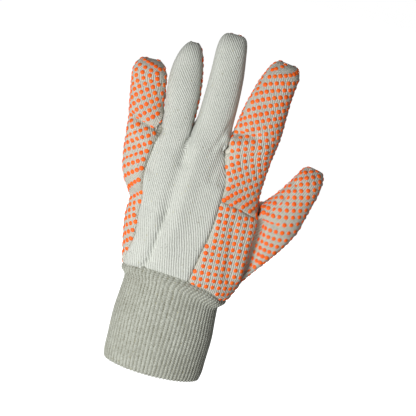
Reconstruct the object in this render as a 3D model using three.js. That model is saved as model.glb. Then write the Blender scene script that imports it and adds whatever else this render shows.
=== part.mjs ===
import * as THREE from 'three';

// A left-hand cotton work glove as it is when worn: fingers spread, back of the hand to -Y.
// The origin is the middle of the cuff's mouth, +Z runs to the fingertips and +X to the thumb.

// Driving dimensions, millimetres
const CUFF_LENGTH = 73;
const CUFF_WIDTH = 75;
const CUFF_DEPTH = 47;
const HAND_LENGTH = 92;
const HAND_WIDTH = 96;
const HAND_DEPTH = 40;
const LITTLE_LENGTH = 54.6;
const RING_LENGTH = 74;
const MIDDLE_LENGTH = 87;
const INDEX_LENGTH = 76;
const FINGER_DEPTH = 22;
const FINGER_TIP = 9;
const THUMB_LENGTH = 70;
const THUMB_WIDTH = 28;
const THUMB_DEPTH = 25;
const THUMB_TIP = 9;
const CLOTH = 1.6;
const KNIT_WALL = 2;
const RIB_COUNT = 68;
const RIB_HEIGHT = 0.8;
const FOLD_DEPTH = 3;
const SEAM_GAP = 0.3;

// Squareness of the outlines: 2 is an ellipse, more is boxier
const HAND_SQUARE = 2.3;
const FINGER_SQUARE = 2.4;
const CUFF_SQUARE = 2;

// How finely the surface is divided
const FINGER_COLUMNS = 5;
const SIDE_COLUMNS = 3;
const THUMB_PALM_COLUMNS = 3;
const FINGER_RINGS = 8;
const THUMB_RINGS = 7;
const TIP_ANGLES = [28, 54, 76];
const SMOOTHING_ROUNDS = 2;

// Lengths over which a finger and the thumb grow out of the hand, and the corner of a finger's outline
const FINGER_BLEND = 0.28 * HAND_WIDTH;
const THUMB_BLEND = 0.38 * HAND_WIDTH;
const CORNER = 38;
const TIP_LINE = 0.55;

// The hand's lower end is cut to the cuff: its width as a share of CUFF_WIDTH, and how far up the hand
// this reaches, a share of HAND_LENGTH
const WRIST_SPREAD = 1.28;
const WRIST_REACH = 0.3;

// Least squared sum of two edge directions that the seam gap follows round a corner
const SHARPEST_CORNER = 0.8;

// Hand sections: at is a share of HAND_LENGTH above the cuff seam, left and right of the hand's width
// there, back and palm of HAND_DEPTH
const HAND = [
  { at: -0.12, left: -0.412, right: 0.425, back: 0.55, palm: 0.55 },
  { at: 0.00, left: -0.425, right: 0.476, back: 0.54, palm: 0.56 },
  { at: 0.10, left: -0.444, right: 0.510, back: 0.52, palm: 0.57 },
  { at: 0.25, left: -0.474, right: 0.510, back: 0.49, palm: 0.57 },
  { at: 0.40, left: -0.490, right: 0.508, back: 0.47, palm: 0.55 },
  { at: 0.52, left: -0.486, right: 0.506, back: 0.45, palm: 0.51 },
  { at: 0.60, left: -0.541, right: 0.491, back: 0.44, palm: 0.48 },
  { at: 0.72, left: -0.594, right: 0.468, back: 0.42, palm: 0.43 },
  { at: 0.87, left: -0.622, right: 0.465, back: 0.39, palm: 0.36 },
  { at: 1.00, left: -0.640, right: 0.474, back: 0.34, palm: 0.30 },
];

// Lines down the hand from the finger crotches, as shares of the hand's width: the two back seams and
// the line between them, then the three lines of the palm
const LINES = [
  { at: -0.12, littleRing: -0.410, ringMiddle: -0.170, middleIndex: 0.100,
    palmLittleRing: -0.300, palmRingMiddle: -0.130, palmMiddleIndex: 0.100 },
  { at: 0.01, littleRing: -0.418, ringMiddle: -0.165, middleIndex: 0.104,
    palmLittleRing: -0.310, palmRingMiddle: -0.130, palmMiddleIndex: 0.100 },
  { at: 0.10, littleRing: -0.410, ringMiddle: -0.160, middleIndex: 0.115,
    palmLittleRing: -0.320, palmRingMiddle: -0.135, palmMiddleIndex: 0.105 },
  { at: 0.22, littleRing: -0.378, ringMiddle: -0.160, middleIndex: 0.132,
    palmLittleRing: -0.330, palmRingMiddle: -0.140, palmMiddleIndex: 0.110 },
  { at: 0.41, littleRing: -0.391, ringMiddle: -0.160, middleIndex: 0.169,
    palmLittleRing: -0.345, palmRingMiddle: -0.145, palmMiddleIndex: 0.115 },
  { at: 0.57, littleRing: -0.400, ringMiddle: -0.160, middleIndex: 0.180,
    palmLittleRing: -0.360, palmRingMiddle: -0.150, palmMiddleIndex: 0.120 },
  { at: 0.72, littleRing: -0.420, ringMiddle: -0.160, middleIndex: 0.188,
    palmLittleRing: -0.375, palmRingMiddle: -0.155, palmMiddleIndex: 0.125 },
  { at: 0.85, littleRing: -0.415, ringMiddle: -0.161, middleIndex: 0.180,
    palmLittleRing: -0.385, palmRingMiddle: -0.158, palmMiddleIndex: 0.128 },
  { at: 1.00, littleRing: -0.392, ringMiddle: -0.160, middleIndex: 0.132,
    palmLittleRing: -0.392, palmRingMiddle: -0.160, palmMiddleIndex: 0.132 },
];

// Corners of the hand's outline, in degrees from +X through the palm
const CORNERS = [
  { at: -0.12, leftBack: 172, rightBack: -14, rightPalm: 24, leftPalm: 140 },
  { at: 0.15, leftBack: 176, rightBack: -13, rightPalm: 26, leftPalm: 142 },
  { at: 0.70, leftBack: 190, rightBack: -13, rightPalm: 26, leftPalm: 150 },
  { at: 1.00, leftBack: 204, rightBack: -24, rightPalm: 24, leftPalm: 156 },
];

// Rise of the cuff seam, a share of CUFF_LENGTH, at shares of the hand's width across it
const SEAM_RISE = [
  { at: -0.44, rise: -0.035 },
  { at: -0.23, rise: 0.024 },
  { at: 0.00, rise: 0.022 },
  { at: 0.12, rise: 0.006 },
  { at: 0.30, rise: -0.050 },
  { at: 0.44, rise: -0.130 },
];

// Height of the finger roots across the hand, shares of HAND_LENGTH, with the rise of each web
const ROOTS = [
  { name: 'leftSide', back: 0.93, palm: 0.90, web: 0 },
  { name: 'littleRing', back: 1.02, palm: 0.98, web: 0.20 },
  { name: 'ringMiddle', back: 0.99, palm: 0.98, web: 0.19 },
  { name: 'middleIndex', back: 1.02, palm: 1.00, web: 0.10 },
  { name: 'rightSide', back: 0.96, palm: 0.95, web: 0 },
];

// Fingers: back is how many columns of its left and right sides the back panel covers, none where it
// stops at the finger. In the sections, at is a share of the finger's length, left and right of
// HAND_WIDTH, deep and curl of FINGER_DEPTH
const FINGERS = [
  {
    length: LITTLE_LENGTH,
    slope: 0.05,
    back: null,
    sections: [
      { at: 0.00, left: -0.640, right: -0.393, deep: 0.92, curl: -0.05 },
      { at: 0.20, left: -0.646, right: -0.390, deep: 0.90, curl: -0.02 },
      { at: 0.40, left: -0.665, right: -0.402, deep: 0.88, curl: 0.03 },
      { at: 0.60, left: -0.684, right: -0.415, deep: 0.88, curl: 0.10 },
      { at: 0.75, left: -0.699, right: -0.432, deep: 0.85, curl: 0.17 },
      { at: 0.87, left: -0.704, right: -0.450, deep: 0.82, curl: 0.24 },
      { at: 1.00, left: -0.690, right: -0.482, deep: 0.75, curl: 0.32 },
    ],
  },
  {
    length: RING_LENGTH,
    slope: 0,
    back: { left: 1, right: 0 },
    sections: [
      { at: 0.00, left: -0.387, right: -0.162, deep: 1.04, curl: -0.05 },
      { at: 0.15, left: -0.386, right: -0.158, deep: 1.02, curl: -0.04 },
      { at: 0.35, left: -0.404, right: -0.156, deep: 1.00, curl: 0.00 },
      { at: 0.50, left: -0.418, right: -0.160, deep: 0.98, curl: 0.05 },
      { at: 0.62, left: -0.426, right: -0.170, deep: 0.95, curl: 0.11 },
      { at: 0.75, left: -0.422, right: -0.190, deep: 0.90, curl: 0.19 },
      { at: 0.87, left: -0.402, right: -0.213, deep: 0.84, curl: 0.27 },
      { at: 1.00, left: -0.362, right: -0.250, deep: 0.75, curl: 0.36 },
    ],
  },
  {
    length: MIDDLE_LENGTH,
    slope: 0,
    back: { left: 1, right: 1 },
    sections: [
      { at: 0.00, left: -0.156, right: 0.128, deep: 1.08, curl: -0.05 },
      { at: 0.15, left: -0.146, right: 0.130, deep: 1.06, curl: -0.05 },
      { at: 0.35, left: -0.140, right: 0.131, deep: 1.04, curl: -0.02 },
      { at: 0.50, left: -0.136, right: 0.128, deep: 1.00, curl: 0.03 },
      { at: 0.70, left: -0.136, right: 0.115, deep: 0.95, curl: 0.12 },
      { at: 0.88, left: -0.138, right: 0.089, deep: 0.86, curl: 0.25 },
      { at: 1.00, left: -0.122, right: 0.077, deep: 0.76, curl: 0.34 },
    ],
  },
  {
    length: INDEX_LENGTH,
    slope: -0.12,
    back: null,
    sections: [
      { at: 0.00, left: 0.136, right: 0.482, deep: 1.06, curl: -0.05 },
      { at: 0.15, left: 0.140, right: 0.488, deep: 1.05, curl: -0.04 },
      { at: 0.30, left: 0.149, right: 0.499, deep: 1.04, curl: 0.00 },
      { at: 0.50, left: 0.174, right: 0.500, deep: 1.00, curl: 0.06 },
      { at: 0.65, left: 0.203, right: 0.501, deep: 0.96, curl: 0.12 },
      { at: 0.80, left: 0.238, right: 0.508, deep: 0.90, curl: 0.21 },
      { at: 0.90, left: 0.272, right: 0.519, deep: 0.85, curl: 0.28 },
      { at: 1.00, left: 0.298, right: 0.518, deep: 0.76, curl: 0.35 },
    ],
  },
];

// Thumb sections: out is a share of HAND_WIDTH, up of THUMB_LENGTH above the thumb's root,
// toPalm of HAND_DEPTH, wide of THUMB_WIDTH and deep of THUMB_DEPTH
const THUMB_ROOT = 0.33;
const THUMB = [
  { at: 0.00, out: 0.530, up: 0.00, toPalm: 0.08, wide: 1.80, deep: 1.16 },
  { at: 0.30, out: 0.628, up: 0.30, toPalm: 0.12, wide: 1.38, deep: 1.08 },
  { at: 0.50, out: 0.688, up: 0.49, toPalm: 0.15, wide: 1.08, deep: 1.00 },
  { at: 0.70, out: 0.745, up: 0.66, toPalm: 0.18, wide: 0.89, deep: 0.92 },
  { at: 0.85, out: 0.786, up: 0.80, toPalm: 0.21, wide: 0.77, deep: 0.84 },
  { at: 0.93, out: 0.804, up: 0.89, toPalm: 0.23, wide: 0.71, deep: 0.78 },
  { at: 1.00, out: 0.818, up: 0.99, toPalm: 0.25, wide: 0.66, deep: 0.72 },
];

// Rows of the hand's grid, shares of the way from the cuff seam to the finger roots. The thumb
// grows between two of them.
const ROWS = [0, 0.08, 0.16, 0.24, 0.33, 0.42, 0.51, 0.59, 0.67, 0.75, 0.83, 0.915, 1];
const THUMB_ROWS = { first: 2, last: 8 };

// Cuff sections: at is a share of CUFF_LENGTH below the seam, wide of CUFF_WIDTH, deep of
// CUFF_DEPTH and rib of RIB_HEIGHT
const CUFF = [
  { at: 0.00, wide: 1.070, deep: 0.94, rib: 0.0 },
  { at: 0.05, wide: 1.005, deep: 1.00, rib: 0.7 },
  { at: 0.09, wide: 0.975, deep: 0.97, rib: 0.9 },
  { at: 0.13, wide: 0.960, deep: 0.90, rib: 0.8 },
  { at: 0.22, wide: 0.970, deep: 0.92, rib: 1.0 },
  { at: 0.50, wide: 1.01, deep: 0.99, rib: 1.0 },
  { at: 0.78, wide: 1.00, deep: 1.00, rib: 1.0 },
  { at: 0.95, wide: 0.99, deep: 1.00, rib: 1.0 },
  { at: 1.00, wide: 0.97, deep: 0.98, rib: 0.8 },
];

// Folds of the back: from and to are a share of the hand's width across and of HAND_LENGTH above
// the seam, wide is a share of the width and high of FOLD_DEPTH, less than nothing for a valley
const FOLDS = [
  { name: 'tuck ridge', from: [-0.225, 0.50], to: [-0.300, 0.02], wide: 0.045, high: 0.7 },
  { name: 'tuck valley', from: [-0.165, 0.56], to: [-0.240, 0.00], wide: 0.030, high: -0.8 },
  { name: 'long valley', from: [-0.162, 1.00], to: [-0.185, 0.46], wide: 0.050, high: -0.7 },
  { name: 'long ridge', from: [-0.060, 1.02], to: [-0.110, 0.20], wide: 0.070, high: 0.5 },
  { name: 'little and ring valley', from: [-0.400, 0.80], to: [-0.388, 1.10], wide: 0.045, high: -0.9 },
  { name: 'ring and middle valley', from: [-0.160, 0.90], to: [-0.158, 1.08], wide: 0.035, high: -0.6 },
  { name: 'middle and index valley', from: [0.160, 0.84], to: [0.130, 1.08], wide: 0.040, high: -0.8 },
  { name: 'middle crease', from: [0.110, 1.12], to: [0.080, 0.84], wide: 0.035, high: -0.5 },
  { name: 'index crease', from: [0.150, 1.22], to: [0.310, 1.24], wide: 0.030, high: -0.8 },
  { name: 'index roll', from: [0.170, 1.14], to: [0.400, 1.15], wide: 0.045, high: 0.6 },
  { name: 'little crease', from: [-0.610, 1.14], to: [-0.410, 1.09], wide: 0.030, high: -0.8 },
  { name: 'little roll', from: [-0.610, 1.04], to: [-0.430, 0.99], wide: 0.045, high: 0.6 },
  { name: 'side pinch', from: [-0.510, 0.53], to: [-0.440, 0.55], wide: 0.035, high: -0.9 },
  { name: 'thumb crease', from: [0.530, 0.10], to: [0.530, 0.58], wide: 0.035, high: -1.0 },
  { name: 'thumb lip', from: [0.470, 0.12], to: [0.480, 0.60], wide: 0.040, high: 0.6 },
  { name: 'panel valley', from: [0.330, 0.52], to: [0.390, 0.10], wide: 0.035, high: -0.4 },
];

const SEAM_Z = CUFF_LENGTH;
const ROOT_Z = CUFF_LENGTH + HAND_LENGTH;

// Column numbers round the hand: four fingers across the back, the thumb side, four fingers across
// the palm and the little finger's side
const BACK_COLUMNS = 4 * FINGER_COLUMNS;
const PALM_START = BACK_COLUMNS + SIDE_COLUMNS;
const HAND_COLUMNS = 2 * PALM_START;
const THUMB_END = PALM_START + THUMB_PALM_COLUMNS;
const THUMB_SPLIT = BACK_COLUMNS + Math.floor((THUMB_END - BACK_COLUMNS) / 2);

const radians = (degrees) => THREE.MathUtils.degToRad(degrees);
const mix = THREE.MathUtils.lerp;
const ease = (share) => THREE.MathUtils.smoothstep(share, 0, 1);

// One column of a table at any place between its rows, on a smooth curve through them
function read(table, column, at) {
  const last = table.length - 2;
  let row = 0;
  while (row < last && at > table[row + 1].at) row += 1;
  const slope = (i) => (table[i + 1][column] - table[i][column]) / (table[i + 1].at - table[i].at);
  const before = slope(Math.max(row - 1, 0));
  const here = slope(row);
  const after = slope(Math.min(row + 1, last));
  const width = table[row + 1].at - table[row].at;
  const t = THREE.MathUtils.clamp((at - table[row].at) / width, 0, 1);
  const start = ((before + here) / 2) * width;
  const end = ((here + after) / 2) * width;
  const a = table[row][column];
  const b = table[row + 1][column];
  return a * (1 + 2 * t) * (1 - t) ** 2 + b * t * t * (3 - 2 * t)
    + start * t * (1 - t) ** 2 - end * t * t * (1 - t);
}

// The width that the hand's shares are of, at a share of HAND_LENGTH above the cuff seam
function handWidth(at) {
  return mix(CUFF_WIDTH * WRIST_SPREAD, HAND_WIDTH, ease(at / WRIST_REACH));
}

// A point of a rounded box outline of half size 1, at an angle in radians
function outline(angle, square) {
  const power = 2 / square;
  const x = Math.cos(angle);
  const y = Math.sin(angle);
  return [Math.sign(x) * Math.abs(x) ** power, Math.sign(y) * Math.abs(y) ** power];
}

// The skin of the hand at an angle and a height
function handPoint(angle, z) {
  const at = (z - SEAM_Z) / HAND_LENGTH;
  const left = read(HAND, 'left', at) * handWidth(at);
  const right = read(HAND, 'right', at) * handWidth(at);
  const [x, y] = outline(angle, HAND_SQUARE);
  const deep = read(HAND, y < 0 ? 'back' : 'palm', at) * HAND_DEPTH;
  return new THREE.Vector3(mix(left, right, (x + 1) / 2), y * deep, z);
}

// The angle at which a line of the LINES table crosses the hand's outline, on the back or the palm
function lineAngle(line, at, side) {
  const left = read(HAND, 'left', at);
  const right = read(HAND, 'right', at);
  const x = (2 * read(LINES, line, at) - left - right) / (right - left);
  const share = THREE.MathUtils.clamp(x, -0.985, 0.985);
  return side * Math.acos(Math.sign(share) * Math.abs(share) ** (HAND_SQUARE / 2));
}

// The angle of each column of the hand's grid at a height, rising round the hand from the little
// finger's side across the back, the thumb side and the palm
function columnAngle(column, at) {
  const turn = 2 * Math.PI;
  const keys = [
    radians(read(CORNERS, 'leftBack', at)) - turn,
    lineAngle('littleRing', at, -1),
    lineAngle('ringMiddle', at, -1),
    lineAngle('middleIndex', at, -1),
    radians(read(CORNERS, 'rightBack', at)),
    radians(read(CORNERS, 'rightPalm', at)),
    lineAngle('palmMiddleIndex', at, 1),
    lineAngle('palmRingMiddle', at, 1),
    lineAngle('palmLittleRing', at, 1),
    radians(read(CORNERS, 'leftPalm', at)),
    radians(read(CORNERS, 'leftBack', at)),
  ];
  const [key, share] = keyOf(column);
  return mix(keys[key], keys[key + 1], share);
}

// Which stretch between two key columns a column lies in, and how far along it
function keyOf(column) {
  if (column < BACK_COLUMNS) {
    return [Math.floor(column / FINGER_COLUMNS), (column % FINGER_COLUMNS) / FINGER_COLUMNS];
  }
  if (column < PALM_START) return [4, (column - BACK_COLUMNS) / SIDE_COLUMNS];
  const palm = column - PALM_START;
  if (palm < BACK_COLUMNS) {
    return [5 + Math.floor(palm / FINGER_COLUMNS), (palm % FINGER_COLUMNS) / FINGER_COLUMNS];
  }
  return [9, (palm - BACK_COLUMNS) / SIDE_COLUMNS];
}

// The height of the cuff seam below a point of the hand's skin
function seamHeight(x) {
  return SEAM_Z + read(SEAM_RISE, 'rise', x / handWidth(0)) * CUFF_LENGTH;
}

// The height of the finger roots at a column
function rootHeight(column) {
  const [key, share] = keyOf(column);
  const heights = [...ROOTS.map((root) => root.back), ...ROOTS.map((root) => root.palm).reverse()];
  return SEAM_Z + HAND_LENGTH * mix(heights[key], heights[(key + 1) % heights.length], share);
}

// The outer skin of the hand and fingers: points, and faces that each belong to one panel
const points = [];
const faces = [];

function addPoint(point) {
  points.push(point);
  return points.length - 1;
}

function addFace(panel, ...corners) {
  const distinct = corners.filter((corner, i) => corners.indexOf(corner) === i);
  if (distinct.length > 2) faces.push({ panel, corners: distinct });
}

// Whether a face of the hand's grid, named by its lowest row and column, lies in the thumb's window
function inWindow(row, column) {
  const inRows = row >= THUMB_ROWS.first && row < THUMB_ROWS.last;
  return inRows && column >= BACK_COLUMNS && column < THUMB_END;
}

// Hand grid, with a window for the thumb
const hand = ROWS.map((share, row) => {
  const ring = [];
  for (let column = 0; column < HAND_COLUMNS; column += 1) {
    if (inWindow(row, column) && inWindow(row - 1, column - 1)) {
      ring.push(-1);
      continue;
    }
    const low = seamHeight(handPoint(columnAngle(column, 0), SEAM_Z).x);
    const z = mix(low, rootHeight(column), share);
    ring.push(addPoint(handPoint(columnAngle(column, (z - SEAM_Z) / HAND_LENGTH), z)));
  }
  return ring;
});

function handPanel(row, column) {
  if (column >= FINGER_COLUMNS && column < 3 * FINGER_COLUMNS) return 'back_panel';
  const thumbSide = column >= 3 * FINGER_COLUMNS && column < BACK_COLUMNS && row < THUMB_ROWS.last;
  const belowThumb = column >= BACK_COLUMNS && column < THUMB_SPLIT && row < THUMB_ROWS.first;
  return thumbSide || belowThumb ? 'thumb_panel' : 'palm_panel';
}

for (let row = 0; row < ROWS.length - 1; row += 1) {
  for (let column = 0; column < HAND_COLUMNS; column += 1) {
    if (inWindow(row, column)) continue;
    const next = (column + 1) % HAND_COLUMNS;
    addFace(handPanel(row, column), hand[row][column], hand[row][next], hand[row + 1][next],
      hand[row + 1][column]);
  }
}

// The web between two fingers: an arch over the hand from its back to its palm
const top = hand[ROWS.length - 1];
const palmColumn = (key) => PALM_START + (4 - key) * FINGER_COLUMNS;

function makeWeb(key) {
  const from = points[top[key * FINGER_COLUMNS]];
  const to = points[top[palmColumn(key)]];
  const web = [];
  for (let step = 1; step < SIDE_COLUMNS; step += 1) {
    const angle = (Math.PI * step) / SIDE_COLUMNS;
    const point = from.clone().lerp(to, (1 - Math.cos(angle)) / 2);
    point.z += ROOTS[key].web * HAND_LENGTH * Math.sin(angle);
    web.push(addPoint(point));
  }
  return web;
}

const webs = [1, 2, 3].map(makeWeb);

// The closed line of skin that a finger grows from, with the angle of each point on its outline
function fingerRoot(finger) {
  const wrap = (column) => top[column % HAND_COLUMNS];
  const range = (start, count) => Array.from({ length: count }, (_, i) => wrap(start + i));
  const right = finger < 3 ? webs[finger] : range(BACK_COLUMNS + 1, SIDE_COLUMNS - 1);
  const leftWeb = finger > 0 ? [...webs[finger - 1]].reverse() : null;
  const left = leftWeb ?? range(palmColumn(0) + 1, SIDE_COLUMNS - 1);
  const back = range(finger * FINGER_COLUMNS, FINGER_COLUMNS + 1);
  const palm = range(palmColumn(finger + 1), FINGER_COLUMNS + 1);
  return [...back, ...right, ...palm, ...left];
}

function loopAngles(broad, narrow, start, corner) {
  const angles = [];
  const spans = [[broad, 180 - 2 * corner], [narrow, 2 * corner], [broad, 180 - 2 * corner],
    [narrow, 2 * corner]];
  let angle = start;
  for (const [steps, span] of spans) {
    for (let i = 0; i < steps; i += 1) angles.push(radians(angle + (span * i) / steps));
    angle += span;
  }
  return angles;
}

// Rings of a tube that grows from a root: body rings, then the rings of its rounded tip. Each has
// its share of the length, and the share of depth and of width that the rounding leaves.
function tubeRings(length, tip, count) {
  const body = 1 - tip / length;
  const rings = [];
  for (let i = 1; i <= count; i += 1) rings.push({ at: (body * i) / count, deep: 1, wide: 1 });
  for (const degrees of [...TIP_ANGLES, 90]) {
    const angle = radians(degrees);
    rings.push({
      at: body + (1 - body) * Math.sin(angle),
      deep: Math.cos(angle),
      wide: TIP_LINE + (1 - TIP_LINE) * Math.cos(angle),
    });
  }
  return rings;
}

// A tube from a root: the last ring closes on a line, where broad side meets broad side
function growTube(root, rings, angles, broad, narrow, place, panelOf) {
  let lower = root;
  rings.forEach((ring, level) => {
    const closing = level === rings.length - 1;
    const upper = [];
    if (closing) {
      const line = [];
      for (let i = 0; i <= broad; i += 1) line.push(addPoint(place(ring, i % angles.length, angles[i])));
      for (let i = 0; i < angles.length; i += 1) {
        if (i <= broad) upper.push(line[i]);
        else if (i < broad + narrow) upper.push(line[broad]);
        else if (i <= 2 * broad + narrow) upper.push(line[2 * broad + narrow - i]);
        else upper.push(line[0]);
      }
    } else {
      angles.forEach((angle, i) => upper.push(addPoint(place(ring, i, angle))));
    }
    for (let i = 0; i < angles.length; i += 1) {
      const next = (i + 1) % angles.length;
      addFace(panelOf(i), lower[i], lower[next], upper[next], upper[i]);
    }
    lower = upper;
  });
}

function growFinger(finger) {
  const { length, slope, back, sections } = FINGERS[finger];
  const root = fingerRoot(finger);
  const start = root.map((index) => points[index].clone());
  const angles = loopAngles(FINGER_COLUMNS, SIDE_COLUMNS, 180 + CORNER, CORNER);
  const middle = (at) => (read(sections, 'left', at) + read(sections, 'right', at)) / 2;
  const place = (ring, i, angle) => {
    const wide = (read(sections, 'right', ring.at) - read(sections, 'left', ring.at)) / 2;
    const [x, y] = outline(angle, FINGER_SQUARE);
    const across = x * wide * ring.wide * HAND_WIDTH;
    const deep = read(sections, 'deep', ring.at) * ring.deep / 2;
    const own = new THREE.Vector3(
      middle(ring.at) * HAND_WIDTH + across,
      (read(sections, 'curl', ring.at) + y * deep) * FINGER_DEPTH,
      ROOT_Z + ring.at * length + slope * across * ring.at,
    );
    const grown = start[i].clone();
    grown.x += (middle(ring.at) - middle(0)) * HAND_WIDTH;
    grown.y += (read(sections, 'curl', ring.at) - read(sections, 'curl', 0)) * FINGER_DEPTH;
    grown.z += ring.at * length;
    return grown.lerp(own, ease((ring.at * length) / FINGER_BLEND));
  };
  const onBack = (i) => back && (i < FINGER_COLUMNS + back.right || i >= root.length - back.left);
  const panelOf = (i) => (onBack(i) ? 'back_panel' : 'palm_panel');
  const rings = tubeRings(length, FINGER_TIP, FINGER_RINGS);
  growTube(root, rings, angles, FINGER_COLUMNS, SIDE_COLUMNS, place, panelOf);
}

FINGERS.forEach((_, finger) => growFinger(finger));

// The thumb grows from the window in the hand's side. Its root runs up the palm side, back along
// the top, down the front and back along the bottom.
function thumbRoot() {
  const root = [];
  for (let row = THUMB_ROWS.last; row > THUMB_ROWS.first; row -= 1) root.push(hand[row][BACK_COLUMNS]);
  for (let column = BACK_COLUMNS; column < THUMB_END; column += 1) root.push(hand[THUMB_ROWS.first][column]);
  for (let row = THUMB_ROWS.first; row < THUMB_ROWS.last; row += 1) root.push(hand[row][THUMB_END]);
  for (let column = THUMB_END; column > BACK_COLUMNS; column -= 1) root.push(hand[THUMB_ROWS.last][column]);
  return root;
}

function thumbAxis(at) {
  return new THREE.Vector3(
    read(THUMB, 'out', at) * HAND_WIDTH,
    read(THUMB, 'toPalm', at) * HAND_DEPTH,
    SEAM_Z + THUMB_ROOT * HAND_LENGTH + read(THUMB, 'up', at) * THUMB_LENGTH,
  );
}

function growThumb() {
  const root = thumbRoot();
  const start = root.map((index) => points[index].clone());
  const broad = THUMB_ROWS.last - THUMB_ROWS.first;
  const narrow = THUMB_END - BACK_COLUMNS;
  const angles = loopAngles(broad, narrow, 180 + CORNER, CORNER);
  const step = 0.02;
  const place = (ring, i, angle) => {
    const centre = thumbAxis(ring.at);
    const forward = thumbAxis(Math.min(ring.at + step, 1)).sub(thumbAxis(Math.max(ring.at - step, 0)));
    const palmward = new THREE.Vector3(0, 1, 0);
    const outward = new THREE.Vector3().crossVectors(palmward, forward).normalize();
    const [x, y] = outline(angle, FINGER_SQUARE);
    const own = centre.clone();
    own.addScaledVector(outward, (x * read(THUMB, 'wide', ring.at) * ring.wide * THUMB_WIDTH) / 2);
    own.addScaledVector(palmward, (y * read(THUMB, 'deep', ring.at) * ring.deep * THUMB_DEPTH) / 2);
    const travelled = centre.clone().sub(thumbAxis(0));
    const grown = start[i].clone().add(travelled);
    return grown.lerp(own, ease(travelled.length() / THUMB_BLEND));
  };
  const lowSplit = broad + THUMB_SPLIT - BACK_COLUMNS;
  const highSplit = angles.length - (THUMB_SPLIT - BACK_COLUMNS);
  const panelOf = (i) => (i < lowSplit || i >= highSplit ? 'thumb_panel' : 'thumb_front');
  const rings = tubeRings(THUMB_LENGTH, THUMB_TIP, THUMB_RINGS);
  growTube(root, rings, angles, broad, narrow, place, panelOf);
}

growThumb();

// Rounds the joins of the skin, leaving the cuff seam where it is
function smoothSkin(rounds) {
  const neighbours = points.map(() => new Set());
  for (const { corners } of faces) {
    corners.forEach((corner, i) => {
      const next = corners[(i + 1) % corners.length];
      neighbours[corner].add(next);
      neighbours[next].add(corner);
    });
  }
  const fixed = new Set(hand[0]);
  for (let round = 0; round < rounds; round += 1) {
    for (const amount of [0.5, -0.5]) {
      const moves = points.map((point, i) => {
        if (fixed.has(i)) return new THREE.Vector3();
        const mean = new THREE.Vector3();
        neighbours[i].forEach((other) => mean.add(points[other]));
        return mean.divideScalar(neighbours[i].size).sub(point).multiplyScalar(amount);
      });
      points.forEach((point, i) => point.add(moves[i]));
    }
  }
}

smoothSkin(SMOOTHING_ROUNDS);

// The outward direction at each point, from the faces round it
function skinNormals(skin, skinFaces) {
  const normals = skin.map(() => new THREE.Vector3());
  for (const { corners } of skinFaces) {
    for (let i = 1; i < corners.length - 1; i += 1) {
      const a = skin[corners[i]].clone().sub(skin[corners[0]]);
      const b = skin[corners[i + 1]].clone().sub(skin[corners[0]]);
      const normal = a.cross(b);
      for (const corner of [corners[0], corners[i], corners[i + 1]]) normals[corner].add(normal);
    }
  }
  return normals.map((normal) => normal.normalize());
}

// Presses the folds into the side that faces -Y
function pressFolds(skin, normals) {
  skin.forEach((point, i) => {
    const facing = ease(-normals[i].y * 1.5);
    const up = (point.z - SEAM_Z) / HAND_LENGTH;
    const x = point.x / handWidth(up);
    for (const { from, to, wide, high } of FOLDS) {
      const run = [to[0] - from[0], to[1] - from[1]];
      const along = (x - from[0]) * run[0] + (up - from[1]) * run[1];
      const share = THREE.MathUtils.clamp(along / (run[0] ** 2 + run[1] ** 2), 0, 1);
      const away = Math.hypot(x - from[0] - share * run[0], up - from[1] - share * run[1]);
      point.addScaledVector(normals[i], facing * high * FOLD_DEPTH * Math.exp(-((away / wide) ** 2)));
    }
  });
}

pressFolds(points, skinNormals(points, faces));

// A wall of even thickness under a patch of skin, its edges drawn back by half of the seam gap.
// level names the points whose wall is cut flat across.
function makeWall(skin, normals, patch, thickness, level) {
  const partner = new Map();
  for (const { corners } of patch) {
    corners.forEach((corner, i) => partner.set(`${corner},${corners[(i + 1) % corners.length]}`, corner));
  }
  const edges = [...partner.keys()].map((key) => key.split(',').map(Number))
    .filter(([a, b]) => !partner.has(`${b},${a}`));
  const sideways = new Map();
  for (const [a, b] of edges) {
    const along = skin[b].clone().sub(skin[a]);
    for (const index of [a, b]) {
      const inward = new THREE.Vector3().crossVectors(normals[index], along).normalize();
      sideways.set(index, [...(sideways.get(index) ?? []), inward]);
    }
  }
  const outerOf = new Map();
  const positions = [];
  const used = new Set(patch.flatMap(({ corners }) => corners));
  for (const index of used) {
    const outer = skin[index].clone();
    const sides = sideways.get(index);
    if (sides) {
      const sum = sides.reduce((total, side) => total.add(side), new THREE.Vector3());
      outer.addScaledVector(sum, SEAM_GAP / Math.max(sum.lengthSq(), SHARPEST_CORNER));
    }
    const normal = normals[index].clone();
    if (level.has(index)) normal.setZ(0).normalize();
    const inner = outer.clone().addScaledVector(normal, -thickness);
    outerOf.set(index, positions.length / 3);
    positions.push(...outer.toArray(), ...inner.toArray());
  }
  const triangles = [];
  for (const { corners } of patch) {
    const outer = corners.map((corner) => outerOf.get(corner));
    for (let i = 1; i < outer.length - 1; i += 1) {
      triangles.push(outer[0], outer[i], outer[i + 1]);
      triangles.push(outer[0] + 1, outer[i + 1] + 1, outer[i] + 1);
    }
  }
  for (const [from, to] of edges) {
    const a = outerOf.get(from);
    const b = outerOf.get(to);
    if (from < to) triangles.push(a, a + 1, b + 1, a, b + 1, b);
    else triangles.push(a, a + 1, b, a + 1, b + 1, b);
  }
  const geometry = new THREE.BufferGeometry();
  geometry.setAttribute('position', new THREE.Float32BufferAttribute(positions, 3));
  geometry.setIndex(triangles);
  geometry.computeVertexNormals();
  return geometry;
}

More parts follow.
